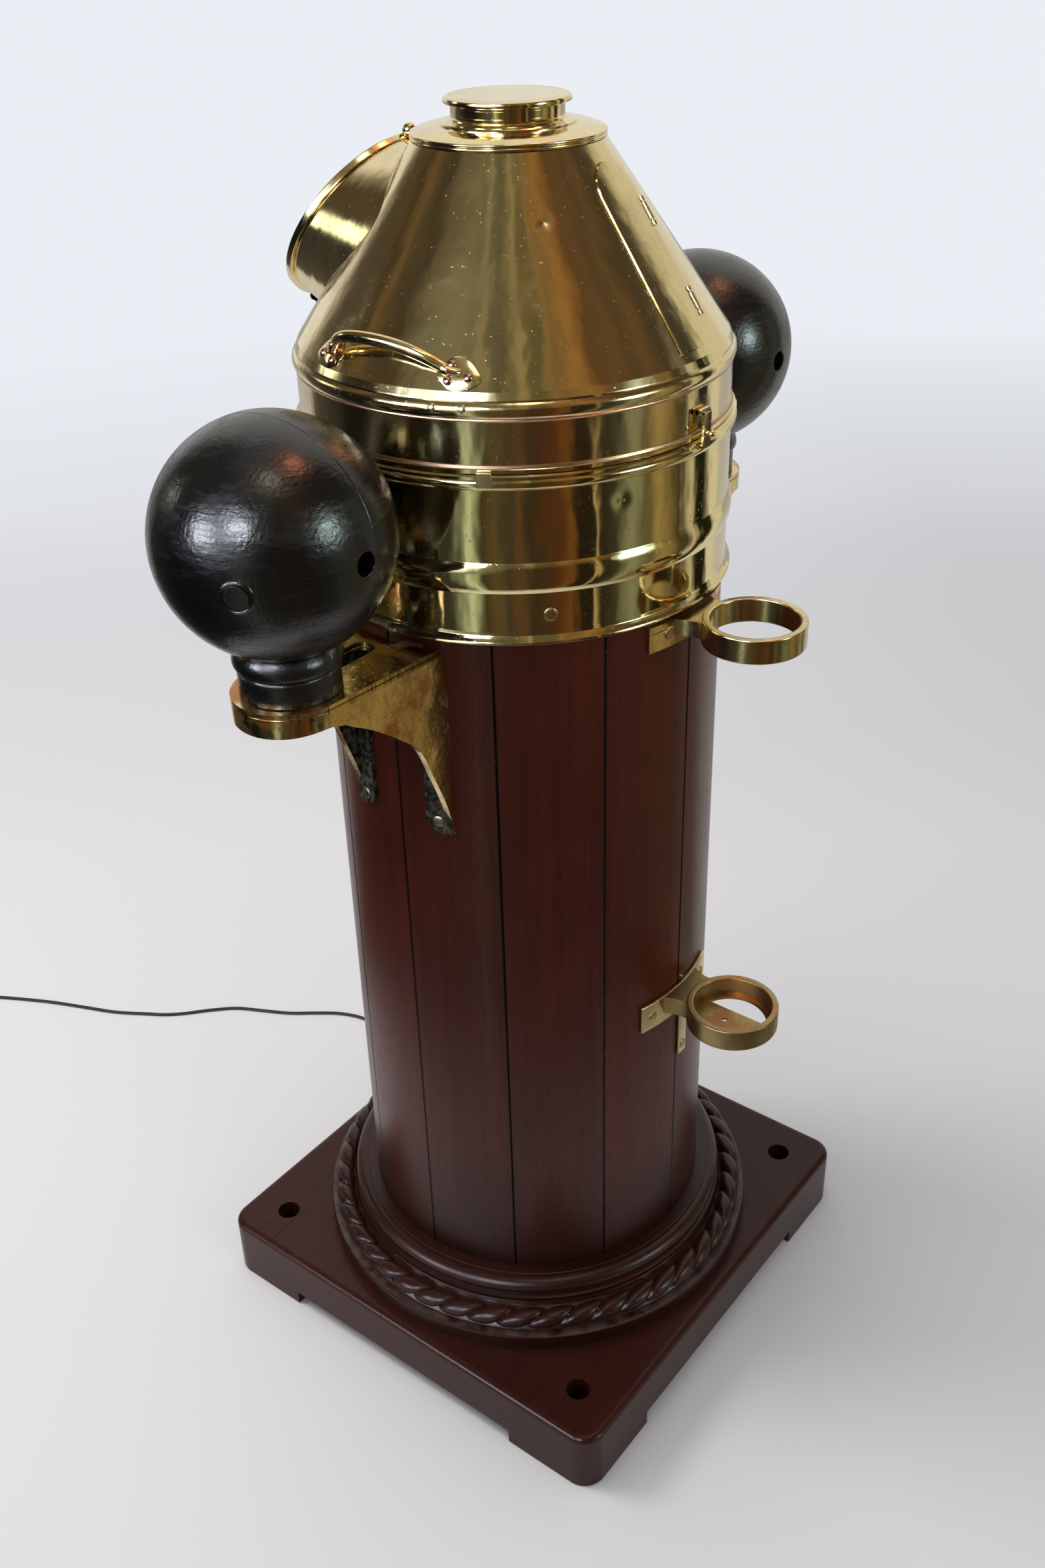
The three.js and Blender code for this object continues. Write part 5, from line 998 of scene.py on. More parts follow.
SIGHT_TILT = math.radians(37.2)
MOUTH = np.array([0, -173.2, 1247.5])  # middle of the sight tube's mouth
MOUTH_OUT = np.array([0, -math.cos(SIGHT_TILT), math.sin(SIGHT_TILT)])
MOUTH_UP = np.array([0, math.sin(SIGHT_TILT), math.cos(SIGHT_TILT)])
MOUTH_RADIUS = 90.5


def sight_point(angle, depth, grown=0.0):
    """Point on the slanting cone behind the mouth: its sections climb 0.6 and widen 0.34 for each unit
    of depth, and the angle runs from the top towards +X."""
    radius = MOUTH_RADIUS + grown + 0.34 * depth
    middle = MOUTH - MOUTH_OUT * depth[..., None] + MOUTH_UP * 0.6 * depth[..., None]
    return (middle + MOUTH_UP * (radius * np.cos(angle))[..., None]
            + np.array([1, 0, 0]) * (radius * np.sin(angle))[..., None])


def sight_depth(angle, grown, lift):
    """Depth at which the slanting cone meets the hood, found by halving: outside it a point is further
    from the axis than the hood is wide."""
    near, far = np.zeros_like(angle), np.full_like(angle, 95.0)
    for _ in range(30):
        depth = (near + far) / 2
        point = sight_point(angle, depth, grown)
        height = point[..., 2]
        wide = np.where(height > CONE_FOOT[1], cone_radius(height, lift), CONE_FOOT[0] + lift)
        outside = np.hypot(point[..., 0], point[..., 1]) > wide
        near, far = np.where(outside, depth, near), np.where(outside, far, depth)
    return (near + far) / 2


def sight_solid(grown):
    """Filled slanting cone, to cut the hood."""
    angle = np.linspace(0, 2 * math.pi, 128, endpoint=False)
    depth = np.array([-2.0, -2.0, 20, 45, 70, 95, 95])[:, None] + 0 * angle
    grid = sight_point(angle, depth, grown)
    grid[0], grid[-1] = grid[0].mean(0), grid[-1].mean(0)
    return surface(grid, wrap=True)


def hood_door_grid(lift, inset=0.0, columns=17):
    """Grid of the small door, level with the cone: straight sides up to a half-circle, whose height goes
    with the sine of an angle and its half-width with the cosine."""
    half, spring = 26.5 - inset, 1290.5
    climb = np.radians(np.linspace(0, 90, 17))
    height = np.concatenate([np.linspace(1175 + inset, spring, 21)[:-1], spring + half * np.sin(climb)])
    wide = np.concatenate([np.full(20, half), half * np.cos(climb)])
    x = -8.5 + wide[:, None] * np.linspace(-1, 1, columns)
    z = np.broadcast_to(height[:, None], x.shape)
    return np.stack([x, np.sqrt(cone_radius(z, lift) ** 2 - x**2), z], -1)


def make_hood():
    """Hood's sheet with the openings for the sight tube and the small door, its crown and its lid."""
    cone = np.linspace(CONE_FOOT, CONE_HEAD, 36)
    inner = cone[::-1] - [SHEET * CONE_STRETCH, 0]
    profile = [[COLUMN, 1085.6], [COLUMN, 1099.3], [202.4, 1099.3], [203, 1100], [203, 1103.2],
               [202.2, 1104], [201.2, 1104.5], [201, 1106], [201, 1144],
               *swelling([201.3, 1145], [201.1, 1158], 2.7, 14).tolist(), [200.4, 1158.8], [200.2, 1160.4],
               *cone[1:].tolist(), *inner.tolist(), [COLUMN, 1158], [COLUMN, 1107], [196.3, 1104],
               [196.3, 1085.6]]
    opening = slab(hood_door_grid(12, 5), hood_door_grid(-30, 5))
    piece("hood_sheet", turned(profile, 256), HOOD_BRASS, "hood", "hood_shell", slot="hood_brass",
          cuts=[sight_solid(-SHEET), opening], crease=28)
    cap = [[81.5, 1329.8], [84, 1329.8], *swelling([84.4, 1330], [84.4, 1333], 1.1, 6).tolist(),
           *swelling([84.4, 1333.2], [84, 1336.4], 1.4, 8).tolist(),
           *flowing([[83.2, 1336.7], [78, 1338.9], [70, 1340.8], [62, 1341.7], [60.4, 1341.8]],
                    14).tolist(),
           [59.9, 1342], [59.9, 1342.9], [59, 1343.8], [53, 1344.6], [50.9, 1345.4], [50.4, 1346.6],
           [49.9, 1347], [49.3, 1347.6], [49.3, 1349.2], [49, 1349.4], [49, 1349.8], [49.3, 1350],
           [49.3, 1355.6], [49, 1355.8], [49, 1356.1], [49.3, 1356.3], [49.3, 1358], [47, 1358],
           [47, 1339], [81.5, 1334]]
    piece("hood_crown", turned(cap, 192), HOOD_BRASS, "hood", "hood_cap", slot="hood_brass", crease=28)
    lid = [[0, 1358.3], [44.2, 1358.3], [44.2, 1350.3], [46.7, 1350.3], [46.7, 1358.3], [54.6, 1358.3],
           [55.3, 1358.8], [55.5, 1359.8], [55.4, 1361.4], [54.7, 1362.8], [53.2, 1363.6], [51, 1363.9],
           [49.2, 1363.95], [49, 1363.6], [48.8, 1363.95], [20, 1364], [0, 1364]]
    piece("lid", turned(lid), HOOD_BRASS, "hood_lid", "hood_lid", slot="hood_brass", crease=28)
    strips = [turned([[202.6, 1104.1], [201.9, 1106.3], [200.9, 1106.6], [200.9, 1104.1]], 256),
              turned([[201.0, 1142.8], [201.9, 1144.4], [201.6, 1145.2], [200.9, 1145.2]], 256)]
    piece("solder_lines", together(*strips), SOLDER, "hood", slot="hood_brass")
    beads = [laid(rivet_head(3.4, 1.5), polar(203.0, angle, 1154.6), polar(1, angle, 0.45))
             for angle in (18.1, 25.5)]
    piece("bead_rivets", together(*beads), PALE_BRASS, "hood", slot="hood_brass")


def make_sight_tube():
    """Wall of the sight tube: rows run back from the mouth on the outside to where it meets the hood, and
    forward again on the inside."""
    angle = np.linspace(0, 2 * math.pi, 160, endpoint=False)
    share = np.linspace(0, 1, 22)[:, None]
    outside = sight_depth(angle, 0.0, GAP)
    inside = sight_depth(angle, -SHEET, GAP)
    outer = sight_point(angle, 4.6 + (outside - 4.6) * share)
    inner = sight_point(angle, 4.6 + (inside - 4.6) * share[::-1], -SHEET)
    lip = np.stack([sight_point(angle, np.full(160, 3.8), grown) for grown in (-1.8, -0.7)])
    tube = surface(np.concatenate([lip, outer, inner]), wrap=True, loop=True)

    def at_mouth(part):
        return laid(part, MOUTH, MOUTH_OUT, [1, 0, 0])

    knuckles = [rod(4, *([x, 0, 0] + MOUTH - MOUTH_UP * 98.8 for x in (low, low + 14)))
                for low in (-22, -7, 8)]
    lug = at_mouth(block((-22, -98.8, -15.8), (22, -86, -3.8)))
    neck = at_mouth(block((-22, -100.6, -9), (22, -97, 0)))
    piece("sight_hood", [tube, together(lug, neck, *knuckles)], [HOOD_BRASS, TRIM_BRASS], "hood",
          "sight_tube", slot="hood_brass")
    ring = [[82.5, -3.5], [94.5, -3.5], [94.5, 3.5], [82.5, 3.5], [82.5, 1.5], [88.5, 1.5], [88.5, -1.5],
            [82.5, -1.5]]
    ball = arc(0, 0, 6.5, -90, 90, 14)[1:-1].tolist()
    knob = laid(turned([[0, -6.5], *ball, [0, 6.5]], 40), MOUTH + MOUTH_UP * 99.7, MOUTH_UP)
    frame_and_knob = together(at_mouth(turned(rounded(ring, 1.1), 160)), knob)
    piece("sight_frame", frame_and_knob, TRIM_BRASS, "sight_cover", "sight_cover", slot="hood_brass")
    pane = turned([[0, -1.2], [88.2, -1.2], [88.2, 1.2], [0, 1.2]], 96)
    piece("sight_pane", at_mouth(pane), GLASS, "sight_cover", "sight_glass", slot="clear_glass")


def hinge_point(height):
    """Point of the small door's hinge line at a height, a little off the cone."""
    x = -37
    return np.array([x, math.sqrt(cone_radius(height, 2.5) ** 2 - x**2), height])


def make_hood_door():
    """Leaf of the small door, and its two hinges of three knuckles on a pin."""
    leaf = slab(hood_door_grid(2.3), hood_door_grid(0.4))
    piece("small_door", leaf, HOOD_BRASS, "hood_door", "hood_door", slot="hood_brass", bevel=0.35,
          cuts=[rod(2.6, hinge_point(1185), hinge_point(1300))])
    for name, low in (("upper", 1263), ("lower", 1194)):
        knuckles = [rod(2.2, hinge_point(low + a), hinge_point(low + b))
                    for a, b in ((0, 3.4), (4.8, 17.2), (18.6, 22))]
        pin = rod(1.5, hinge_point(low + 1), hinge_point(low + 21))
        piece(f"door_hinge_{name}_knuckles", together(*knuckles, pin), PALE_BRASS, "hood",
              f"door_hinge_{name}", slot="hood_brass")


HANDLE_TURN = 3.3  # angle of the near handle's middle
HANDLE_SPREAD = 20.7  # angle from its middle to each foot
HANDLE_FOOT = 1178.6
HANDLE_RISE = 27
# Arch of the handle: place along it, from one foot (-1) to the other (1), and rise as a share
HANDLE_ARCH = [(-1.04, 0.03), (-0.97, 0.06), (-0.90, 0.20), (-0.83, 0.46), (-0.70, 0.76), (-0.50, 0.94),
               (-0.2, 1.0), (0.12, 0.95), (0.38, 0.80), (0.60, 0.55), (0.76, 0.29), (0.88, 0.12),
               (0.97, 0.06), (1.04, 0.03)]


def make_handles():
    """Each handle is a round bar on a smooth arch that leans uphill from square on the cone, and thins
    into two leaf-shaped plates held by three rivets each."""
    foot = cone_radius(HANDLE_FOOT)
    chord, spread = (foot * f(math.radians(HANDLE_SPREAD)) for f in (math.cos, math.sin))
    normal = np.array([1, 0, CONE_SLOPE]) / CONE_STRETCH
    uphill = np.array([-CONE_SLOPE, 0, 1]) / CONE_STRETCH
    lean = math.radians(20)
    rise = normal * math.cos(lean) + uphill * math.sin(lean)
    along, up = flowing(HANDLE_ARCH, 72).T[..., None]
    bulge = (foot * np.cos(np.radians(HANDLE_SPREAD * along)) - chord) * (np.abs(along) > 0.85)
    path = [chord, 0, HANDLE_FOOT] + along * [0, spread, 0] + up * HANDLE_RISE * rise + bulge * [1, 0, 0]
    thick = 1 - 0.34 * np.clip((np.abs(along) - 0.35) / 0.65, 0, 1) ** 2
    bar = carried(arc(0, 0, 5.4, 0, 360, 20)[:-1], path + 1.2 * normal, up=normal, size=thick)
    leaf = flowing([[-17, 1], [-12, 7.5], [-6, 13], [1, 14], [8, 10], [14, 3], [17.6, -4], [12, -9.5],
                    [4, -12.4], [-5, -12.6], [-11, -8], [-15.5, -3], [-17, 1]], 61)[:-1]
    parts, rivets = [bar], []
    for side in (-1, 1):
        parts.append(on_cone(leaf * [1.1 * side, 1.06], side * HANDLE_SPREAD, HANDLE_FOOT, GAP, 3.0, 2.0))
        for across, up in ((-6.0, 8.6), (-8.2, -4.9), (8.6, -1.8)):
            height = HANDLE_FOOT + up / CONE_STRETCH
            angle = side * (HANDLE_SPREAD + math.degrees(across / cone_radius(height)))
            place = polar(cone_radius(height, 2.4), angle, height)
            rivets.append(laid(rivet_head(4.0, 2.5), place, cone_normal(angle)))
    for name, turn in (("near", HANDLE_TURN), ("far", HANDLE_TURN + 180)):
        piece(f"lifting_handle_{name}", [spun(together(*parts), turn), spun(together(*rivets), turn)],
              [TRIM_BRASS, COPPER], "hood", f"handle_{name}", slot="hood_brass", crease=45)


def make_hasp():
    """Strap over the hood's lug, with a ball to pull it by, and the two knuckles it hangs between."""
    hinge_at, hinge_height = 204.3, 1124
    strap = slab(*(np.array([[[-6.0, y, z], [6, y, z]] for z in (1092, hinge_height)])
                   for y in (209.5, 207)))
    top = block((-6, hinge_at, 1122.5), (6, 209.5, hinge_height))
    barrel = rod(3, (-6, hinge_at, hinge_height), (6, hinge_at, hinge_height))
    pull = [[0, 0], [2.2, 0], [1.8, 2.4], *arc(0, 5, 3.6, -50, 84, 10).tolist(), [0, 8.6]]
    ball = laid(turned(pull, 32), (0, 208.9, 1105), (0, 1, 0))
    piece("hasp_strap", together(strap, top, barrel, ball), TRIM_BRASS, "hasp", "hasp", slot="hood_brass",
          bevel=0.4)
    knuckles = []
    for x in (-8.4, 6.4):
        knuckles += [rod(2.8, (x, hinge_at, hinge_height), (x + 2, hinge_at, hinge_height)),
                     block((x, 199.8, 1121.8), (x + 2, hinge_at, 1126.2))]
    piece("hasp_knuckles", together(*knuckles), TRIM_BRASS, "hood", slot="hood_brass")


# Sphere brackets

BRACKET_FOOT = 735
SLOT_ENDS = (234, 333)  # where the two round ends of a bracket's slot have their middles


def bracket_plan(inset):
    """Half of a bracket's outline from the nose to the column: an arc of the nose and a straight side."""
    nose = arc(324, 0, 51.5 - inset, 0, 84, 20)
    root = 60 - inset
    end = math.sqrt(SEAT**2 - root**2)
    share = np.linspace(0, 1, 40)[1:, None] ** 0.6
    return np.concatenate([nose, nose[-1] + (np.array([end, root]) - nose[-1]) * share])


def web_edge(x):
    """Height of the web's lower edge at a distance from the column's axis: it drops in a long curve from
    the nose and turns down along the column."""
    curve = flowing([[189.6, BRACKET_FOOT], [192.5, 748], [198.7, 772], [212.7, 808], [228.8, 845],
                     [251.8, 867], [281.9, 890], [301.9, 902], [326.8, 914], [375.5, 911.6]], 200)
    return np.interp(x, curve[:, 0], curve[:, 1])


def bracket_wall(outline):
    """Rows of points from the top plate down to the web's lower edge, over an outline."""
    top = np.c_[outline, np.full(len(outline), BRACKET_TOP - 0.1)]
    low = np.c_[outline, web_edge(outline[:, 0])]
    return top + (low - top) * np.linspace(0, 1, 6)[:, None, None]


def make_brackets():
    """Brackets of brass, painted inside: a web under a slotted plate, and a flange at each foot with a
    screw."""
    outer, inner = (np.concatenate([half[::-1] * [1, -1], half[1:]])
                    for half in (bracket_plan(0), bracket_plan(7)))
    lining = bracket_wall(inner)
    brass_part = together(slab(bracket_wall(outer), lining), slotted_plate())
    paint = np.concatenate([lining[..., :2] - 0.25 * unit_out(inner), lining[..., 2:]], -1)
    under_plate = shifted(slotted_plate(7.3, 0.4, 0.9), z=-8.35)
    black_part = together(slab(lining, paint), under_plate, *(foot_flange(side) for side in (-1, 1)))
    screws = together(*(screw_at(SEAT + 3.7, angle, 749, 6.2, 1.9, slot_turn)
                        for angle, slot_turn in ((13.2, 65), (-13.2, 70))))
    for name, turn in (("near", 0), ("far", 180)):
        piece(f"bracket_{name}", [spun(brass_part, turn), spun(black_part, turn)],
              [BRACKET_BRASS, BLACK_CAST], "pedestal", f"sphere_bracket_{name}",
              slot="cast_brass", bevel=0.9, crease=40)
        piece(f"bracket_screws_{name}", spun(screws, turn), WORN_SCREW, "pedestal", slot="black_iron")


def foot_flange(side):
    """Strip on the column beside a leg: its edge towards the other leg runs straight down and turns in
    with a quarter of an ellipse at the foot."""
    turn = np.linspace(0, math.pi / 2, 10)
    height = np.concatenate([BRACKET_FOOT + 16 * (1 - np.cos(turn)), [790, 850, 920]])
    inner = np.concatenate([16.6 - 7.1 * np.sin(turn), [9.5, 9.5, 9.5]])
    angle = side * (inner[:, None] + (17 - inner[:, None]) * np.linspace(0, 1, 7))
    z = np.broadcast_to(height[:, None], angle.shape)
    return slab(polar(SEAT + 4, angle, z), polar(SEAT, angle, z))


def unit_out(outline):
    """Direction square to an outline at each of its points, on the side away from its middle."""
    step = np.gradient(outline, axis=0)
    out = np.stack([step[:, 1], -step[:, 0]], -1)
    return out / np.linalg.norm(out, axis=1)[:, None]


def slotted_plate(inset=0.0, thick=8.0, slot_grown=0.0):
    """Bracket's top plate: rings run from the slot's edge to the bracket's outline, both read off at the
    same angles about the slot's middle."""
    half = bracket_plan(inset)
    root = np.degrees(np.arctan2(half[-1, 1], half[-1, 0]))
    back = polar(SEAT, np.linspace(root, -root, 24), 0)[1:-1, :2]
    edge = np.concatenate([half, back, (half * [1, -1])[::-1][:-1]])
    slot = np.concatenate([arc(x, 0, 12 + slot_grown, start, start + 180, 24)
                           for x, start in zip(SLOT_ENDS[::-1], (-90, 90))])
    middle = [sum(SLOT_ENDS) / 2, 0]
    angle = np.radians(np.linspace(-180, 180, 241)[:-1])

    def read(outline):
        """Outline's points at even angles, found along straight lines between its own."""
        ring = np.concatenate([outline, outline[:1]])
        steps = np.linspace(0, len(outline), 4000)
        dense = np.stack([np.interp(steps, np.arange(len(ring)), c) for c in ring.T], -1) - middle
        at = np.arctan2(dense[:, 1], dense[:, 0])
        order = np.argsort(at)
        reach = np.interp(angle, at[order], np.hypot(*dense.T)[order], period=2 * math.pi)
        return middle + np.stack([reach * np.cos(angle), reach * np.sin(angle)], -1)

    first, last = read(slot), read(edge)
    share = np.linspace(0, 1, 4)[:, None, None]
    flat = first + (last - first) * share
    upper = np.concatenate([flat, np.full((4, 240, 1), float(BRACKET_TOP))], 2)
    return slab(upper, upper - [0, 0, thick], wrap=True)


# Spheres on their necks

def to_side(part):
    """Part whose Z is turned to +Y."""
    return part[0][:, [0, 2, 1]] * [1, 1, -1], part[1]


def make_spheres():
    """Hollow spheres, each with a plugged hole and a small boss; necks with a hollow seat on top; and the
    bolts and nuts that clamp them under the brackets."""
    start, inner_start = (90 - math.degrees(math.asin(SPHERE_HOLE / r)) for r in (SPHERE, SPHERE_INSIDE))
    profile = [[0, -SPHERE], *arc(0, 0, SPHERE, -89, start - 0.6, 64).tolist(), [10.35, 100.75],
               [SPHERE_HOLE, 100.2], *arc(0, 0, SPHERE_INSIDE, inner_start, -89, 24).tolist(),
               [0, -SPHERE_INSIDE]]
    ball = to_side(turned(profile))
    seat = np.linspace(42.2, 0, 10)
    hollow = np.stack([seat, SPHERE_HEIGHT - np.sqrt((SPHERE + GAP) ** 2 - seat**2)], -1)
    foot = BRACKET_TOP + GAP
    neck = [[0, foot], [43.4, foot], [44.3, 936.2], [44.3, 956.2], [43.4, 957.2], [43.1, 958],
            [43.5, 958.8],
            *flowing([[44.9, 959.8], [46.4, 961.8], [47.4, 964.6], [47.6, 967.4], [47.3, 970.2],
                      [46.5, 973], [45.2, 975.8], [43.6, 978.2]], 14).tolist(),
            [42.8, 979], *hollow.tolist()]
    boss = turned([[0, -2], [15.6, -2], [15.2, -0.9], [13.6, 0.5], [12.2, 0.9], [11.5, 0.5], [11.1, -0.4],
                   [10.7, 0.5], [10, 0.8], [0, 1]], 48)
    bolt = together(rod(9, (0, 0, 906.3), (0, 0, BRACKET_TOP)), disc(24, 920.3, 926.7, 0.6, 48))
    nut = turned([[0, 906.3], [14.6, 906.3], [16, 907.4], [16, 920.3], [0, 920.3]], 6)
    boss_rise = math.radians(-5)
    for name, side, boss_angle in (("near", 1, 28), ("far", -1, 208)):
        at, body = side * SPHERE_AT, f"sphere_{name}"
        out = polar(math.cos(boss_rise), boss_angle, math.sin(boss_rise))
        parts = [shifted(ball, at, 0, SPHERE_HEIGHT),
                 laid(boss, [at, 0, SPHERE_HEIGHT] + out * (SPHERE - 0.35), out)]
        piece(f"ball_{name}", together(*parts), BLACK, body, body, slot="black_iron")
        piece(f"neck_{name}", shifted(turned(neck, 96), at), BLACK, body, f"sphere_neck_{name}",
              slot="black_iron")
        piece(f"clamp_{name}", [shifted(bolt, at), shifted(nut, at)], [SCREW_BRASS, TRIM_BRASS], body,
              f"clamp_bolt_{name}", slot="cast_brass")


# Sockets for the upright bar

def socket_web(low, high):
    """Web between the plate on the column and the ring: columns run across it and rows go from the
    plate to a circle inside the ring's wall, drawn in towards the middle of their way."""
    across = np.linspace(-1, 1, 21)[None]
    share = np.linspace(0, 1, 15)[:, None]
    angle = np.radians(70 * across)
    x = (34 * across * (1 - share) + 44.5 * np.sin(angle) * share) * (1 - 1.35 * share * (1 - share))
    back = np.sqrt(SEAT**2 - (34 * across) ** 2) + 1
    y = back * (1 - share) + (SOCKET_AT - 44.5 * np.cos(angle)) * share
    flat = np.stack([x, y, np.full_like(x, high)], -1)
    return slab(flat, flat - [0, 0, high - low])


def make_sockets():
    """Ring and cup for the bar, each on a plate with screws. The cup's floor has a window, half of a
    circle, and a drain hole."""
    def at_socket(part):
        return shifted(part, 0, SOCKET_AT)

    upper = together(at_socket(washer(*SOCKET, 920.5, 944, 1.4, 96)), socket_web(921.5, 937.5))
    upper_plate = plate(SEAT, SEAT + 4.5, 72.4, 108, 912, 937.6)
    piece("bar_ring", [upper, upper_plate], [SOCKET_BRASS, BRACKET_BRASS], "pedestal", "flinders_ring",
          slot="cast_brass", bevel=1.2, crease=40)
    lower = together(at_socket(washer(*SOCKET, 475, 499, 1.2, 96)), socket_web(475.4, 496.4))
    piece("bar_cup", lower, CUP_BRASS, "pedestal", "flinders_cup", slot="cast_brass", bevel=1.0,
          crease=40)
    floor = at_socket(turned([[0, 475.4], [42, 475.4], [42, 478.5], [0, 478.5]], 96))
    inside = np.array([-23.0, 0])
    flat = inside + (arc(0, 0, 36, 107.8, 252.2, 40) - inside) * np.linspace(0, 1, 3)[:, None, None]
    top = np.concatenate([flat, np.full((3, 41, 1), 490.0)], 2)
    window = slab(top, top - [0, 0, 30], wrap=True)
    drain = rod(3, (5.5, SOCKET_AT - 5.5, 460), (5.5, SOCKET_AT - 5.5, 490))
    piece("bar_cup_floor", floor, CUP_BRASS, "pedestal", slot="cast_brass",
          cuts=[at_socket(window), drain])
    lower_plate = together(plate(SEAT, SEAT + 4.5, 72.4, 108, 463, 497),
                           plate(SEAT, SEAT + 4.3, 90, 94, 396, 466, 4))
    piece("bar_cup_plate", lower_plate, SOCKET_BRASS, "pedestal", slot="cast_brass", bevel=1.0)
    screws = [screw_at(SEAT + 4.4, degrees, height, size, 1.5, slot_turn)
              for degrees, height, size, slot_turn in ((79.6, 925, 7.2, 60), (100.8, 925, 7.2, 15),
                                                       (76.6, 479, 6.0, 40), (104, 479, 6.0, 75),
                                                       (92, 408, 5.6, 50))]
    piece("socket_screws", together(*screws), SCREW_BRASS, "pedestal", slot="cast_brass")
    pin = rod(1.8, polar(COLUMN - 1, 91.4, 502), polar(COLUMN + 3.5, 91.4, 502))
    piece("column_pin", pin, STEEL, "pedestal", slot="bare_iron")


# Room: a pale floor, a pale backdrop behind the object and a dim room on the camera's side

# The dim room as polished metal shows it, low down and higher up: azimuth in degrees, and colour
LOW_ROOM = [(-180, 0.75, 0.75, 0.70), (-106, 0.88, 0.86, 0.84), (-98, 0.30, 0.26, 0.22),
            (-91, 0.09, 0.08, 0.07), (-57, 0.01, 0.01, 0.01), (-24, 0.01, 0.01, 0.01),
            (-12, 0.04, 0.035, 0.03), (4, 0.04, 0.04, 0.03), (8, 0.20, 0.23, 0.18),
            (12, 0.60, 0.72, 0.58), (16, 0.30, 0.32, 0.24), (19, 0.05, 0.04, 0.02),
            (27, 0.11, 0.08, 0.04), (32, 0.05, 0.045, 0.03), (37, 0.11, 0.06, 0.03),
            (43, 0.04, 0.03, 0.02), (57, 0.09, 0.035, 0.012), (63, 0.16, 0.07, 0.02),
            (67, 0.02, 0.015, 0.01), (76, 0.02, 0.015, 0.01), (77.5, 0.60, 0.48, 0.25),
            (79, 0.02, 0.015, 0.01), (89, 0.05, 0.045, 0.03), (98, 0.26, 0.28, 0.20),
            (107, 0.12, 0.10, 0.06), (114, 0.36, 0.27, 0.12), (133, 0.03, 0.025, 0.015),
            (139, 0.62, 0.58, 0.44), (143, 0.40, 0.37, 0.28), (146, 0.01, 0.01, 0.005),
            (153, 0.01, 0.01, 0.005), (157, 0.70, 0.67, 0.56)]
HIGH_ROOM = [(-180, 0.95, 0.93, 0.88), (-112, 0.90, 0.88, 0.82), (-102, 0.30, 0.26, 0.20),
             (-94, 0.07, 0.055, 0.04), (-78, 0.10, 0.07, 0.035), (-70, 0.06, 0.04, 0.025),
             (-62, 0.16, 0.11, 0.05), (-54, 0.08, 0.06, 0.04), (-44, 0.06, 0.045, 0.03),
             (-32, 0.13, 0.11, 0.075), (-18, 0.15, 0.12, 0.08), (-2, 0.19, 0.16, 0.10),
             (8, 0.16, 0.14, 0.09), (14, 0.30, 0.26, 0.17), (20, 0.13, 0.12, 0.08),
             (30, 0.11, 0.10, 0.065), (36, 0.17, 0.15, 0.09), (41, 0.36, 0.30, 0.16),
             (45, 0.13, 0.11, 0.06), (54, 0.12, 0.10, 0.05), (60, 0.26, 0.18, 0.08),
             (66, 0.19, 0.12, 0.055), (76, 0.32, 0.18, 0.06), (85, 0.24, 0.12, 0.04),
             (93, 0.11, 0.065, 0.03), (104, 0.13, 0.075, 0.04), (112, 0.09, 0.06, 0.03),
             (122, 0.13, 0.08, 0.04), (132, 0.07, 0.05, 0.03), (150, 0.07, 0.055, 0.04),
             (156, 0.62, 0.57, 0.40), (180, 0.95, 0.93, 0.88)]


def by_azimuth(f, x, y, table):
    """Colour read off a table by the azimuth of a direction or a place."""
    turn = x.math("ARCTAN2", y, x) / (2 * math.pi) + 0.5
    return f.ramp(turn, [((degrees + 180) / 360, colour) for degrees, *colour in table])


# Bright windows and lamps of the dim room: azimuth, height and half-width in degrees, and colour
WINDOWS = [(-74, 15, 6, (2.4, 2.6, 2.1)), (-4, 20, 30, (0.24, 0.25, 0.19)), (-6, 18, 20, (1.5, 1.6, 1.8)),
           (-22, 16, 8.5, (20, 21, 24)), (11, 28, 8.5, (21, 22, 25)), (100, 15, 12, (0.9, 1.1, 1.05)),
           (100, 15, 7.5, (10, 12.5, 12)), (138, 70, 11, (1.6, 0.5, 0.25)), (138, 70, 5, (10, 4, 2)),
           (52, 72, 7, (5, 4, 2.8))]


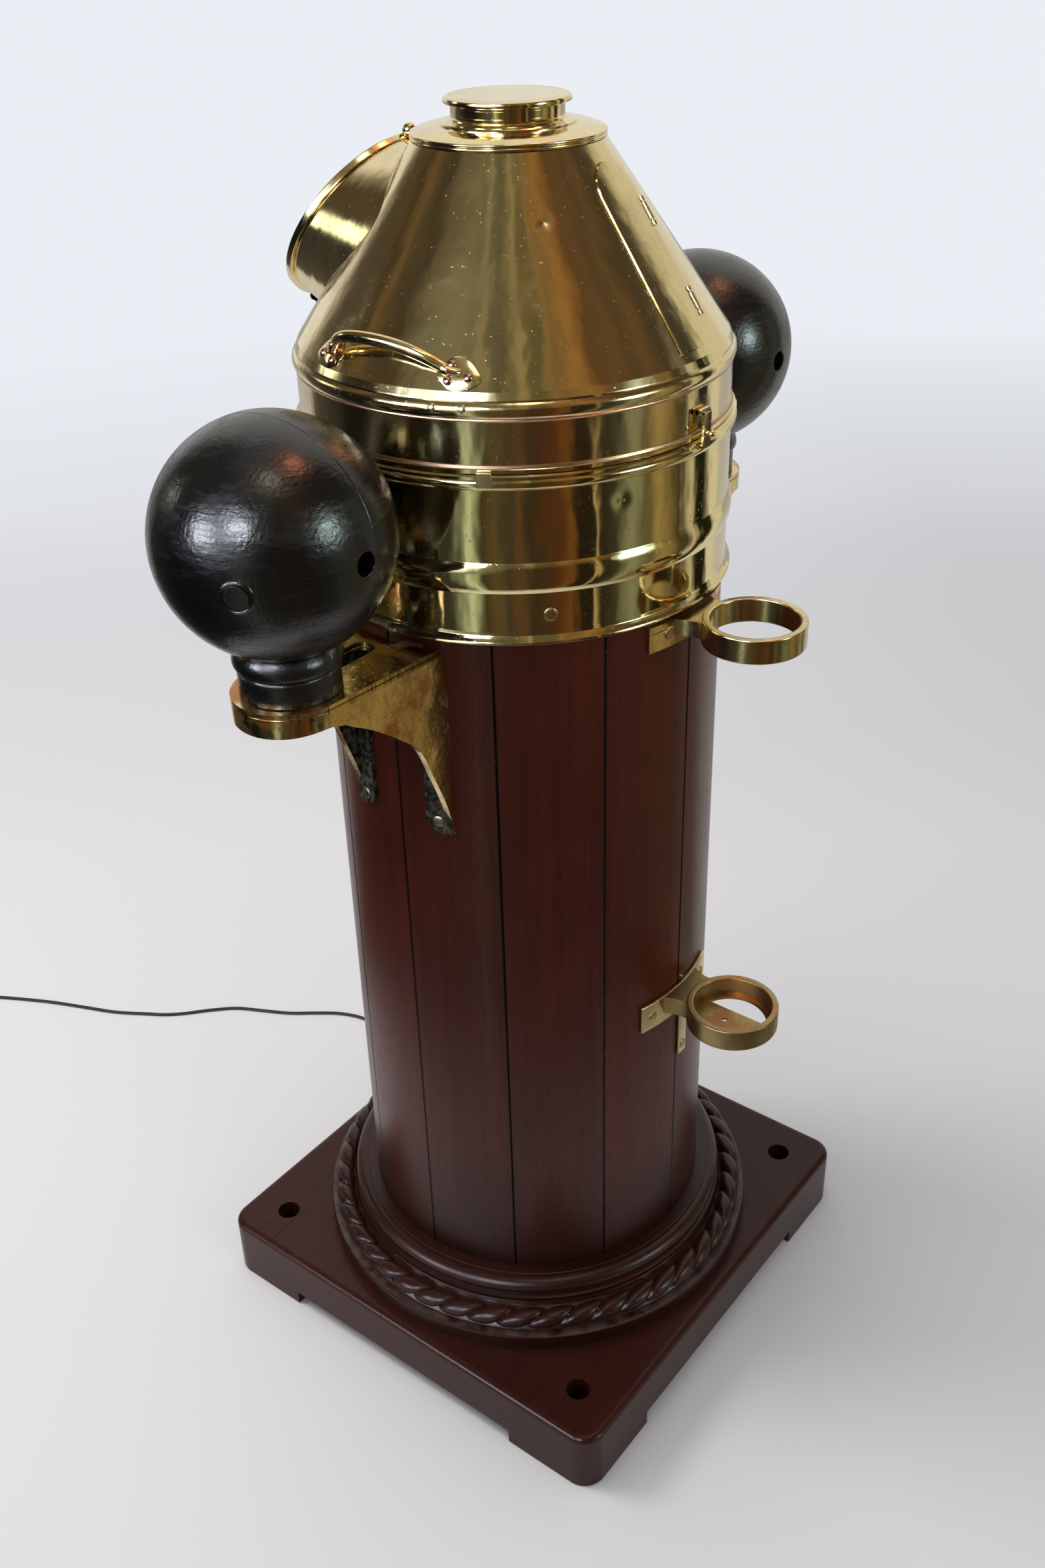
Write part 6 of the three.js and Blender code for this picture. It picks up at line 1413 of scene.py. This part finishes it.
def make_room():
    """World: bands of colour by azimuth for what shines in metal, changed from the low table to the high
    one as the direction climbs, with round windows whose light falls off with the cosine from their
    middle. The floor is pale paper that metal sees as the dim room beyond its edge, and that fades into
    the backdrop far behind."""
    world = bpy.context.scene.world or bpy.data.worlds.new("room")
    bpy.context.scene.world = world
    f = Finish(world)
    x, y, z = f.split(f.node("ShaderNodeTexCoord", output=0))
    seen, glossy = f.rays()
    room = f.mix(z.over(0.25, 0.52), by_azimuth(f, x, y, LOW_ROOM), by_azimuth(f, x, y, HIGH_ROOM))
    room = f.mix(z.over(0.86, 0.97), room, (0.30, 0.29, 0.26))
    for azimuth, height, half, colour in WINDOWS:
        a, h, w = (math.radians(v) for v in (azimuth, height, half))
        near = x * (math.cos(a) * math.cos(h)) + y * (math.sin(a) * math.cos(h)) + z * math.sin(h)
        room = f.mix(near.over(math.cos(w * 1.15), math.cos(w * 0.75)), room, colour)
    light = f.mix(seen, f.mix(glossy, (0.50, 0.50, 0.51), room), HAZE)
    f.end("ShaderNodeOutputWorld", f.node("ShaderNodeBackground", inputs=(light, 1.0)))

    floor = Finish("pale floor")
    x, y, _ = floor.split(floor.place())
    seen, glossy = floor.rays()
    side = math.radians(CAMERA_SIDE)
    towards = x * math.cos(side) + y * math.sin(side)
    aside = y * math.cos(side) - x * math.sin(side)
    reach = (x * x + y * y) ** 0.5
    beyond = glossy * reach.over(0.58, 0.80) * (towards / reach).over(-0.68, -0.62)
    behind = seen * reach.math("MAXIMUM", (0 - towards).over(0.9, 2.6), reach.over(2.6, 4.6))
    paper = floor.node("ShaderNodeBsdfDiffuse", inputs=((0.80, 0.785, 0.78, 1),))
    dim = floor.node("ShaderNodeEmission", inputs=(by_azimuth(floor, x, y, LOW_ROOM), 1.0))
    # Painted shade on the backdrop: the far floor glows darker grey near the object and pales to the haze
    # far behind, and a painted shadow darkens its right side.
    backdrop = floor.mix(reach.over(1.2, 4.6), (0.66, 0.66, 0.70), HAZE)
    shadow = aside.over(0.15, 1.1) * (1 - (0 - towards).over(2.2, 4.2)) * 0.28
    far = floor.node("ShaderNodeEmission", inputs=(floor.mix(shadow, backdrop, (0.30, 0.30, 0.28)), 1.0))
    mixed = floor.node("ShaderNodeMixShader", inputs=(beyond, paper, dim))
    mixed = floor.node("ShaderNodeMixShader", inputs=(behind, mixed, far))
    span = 14000
    ground = np.array([[[x, y, -0.4] for x in (-span, span)] for y in (-span, span)])
    mesh = mesh_of("floor", [surface(ground)])
    if mesh.polygons[0].normal.z < 0:
        mesh.flip_normals()
    mesh.materials.append(floor.end("ShaderNodeOutputMaterial", mixed))
    item = bpy.data.objects.new("floor", mesh)
    bpy.context.collection.objects.link(item)


def make_lamps():
    """Two soft lamps on the left of the picture and above, and a weak one on the right."""
    for name, place, size, power in (("key", (1.2, -2.2, 3.0), 1.4, 46),
                                     ("top", (0.4, -0.5, 3.4), 1.6, 26),
                                     ("fill", (0.5, 3.2, 2.2), 1.2, 8)):
        lamp = bpy.data.lights.new(name, "AREA")
        lamp.size, lamp.energy, lamp.shape = size, power, "DISK"
        item = bpy.data.objects.new(name, lamp)
        item.location = place
        item.rotation_mode = "QUATERNION"
        item.rotation_quaternion = (Vector((0, 0, 0.7)) - item.location).to_track_quat("-Z", "Y")
        item.visible_glossy = False
        bpy.context.collection.objects.link(item)


make_camera()
make_cord()
make_base()
make_mouldings()
make_column()
make_inside()
make_casing()
make_hood()
make_sight_tube()
make_hood_door()
make_handles()
make_hasp()
make_brackets()
make_spheres()
make_sockets()
make_room()
make_lamps()

bpy.context.scene.view_settings.view_transform = "Standard"
bpy.context.view_layer.update()
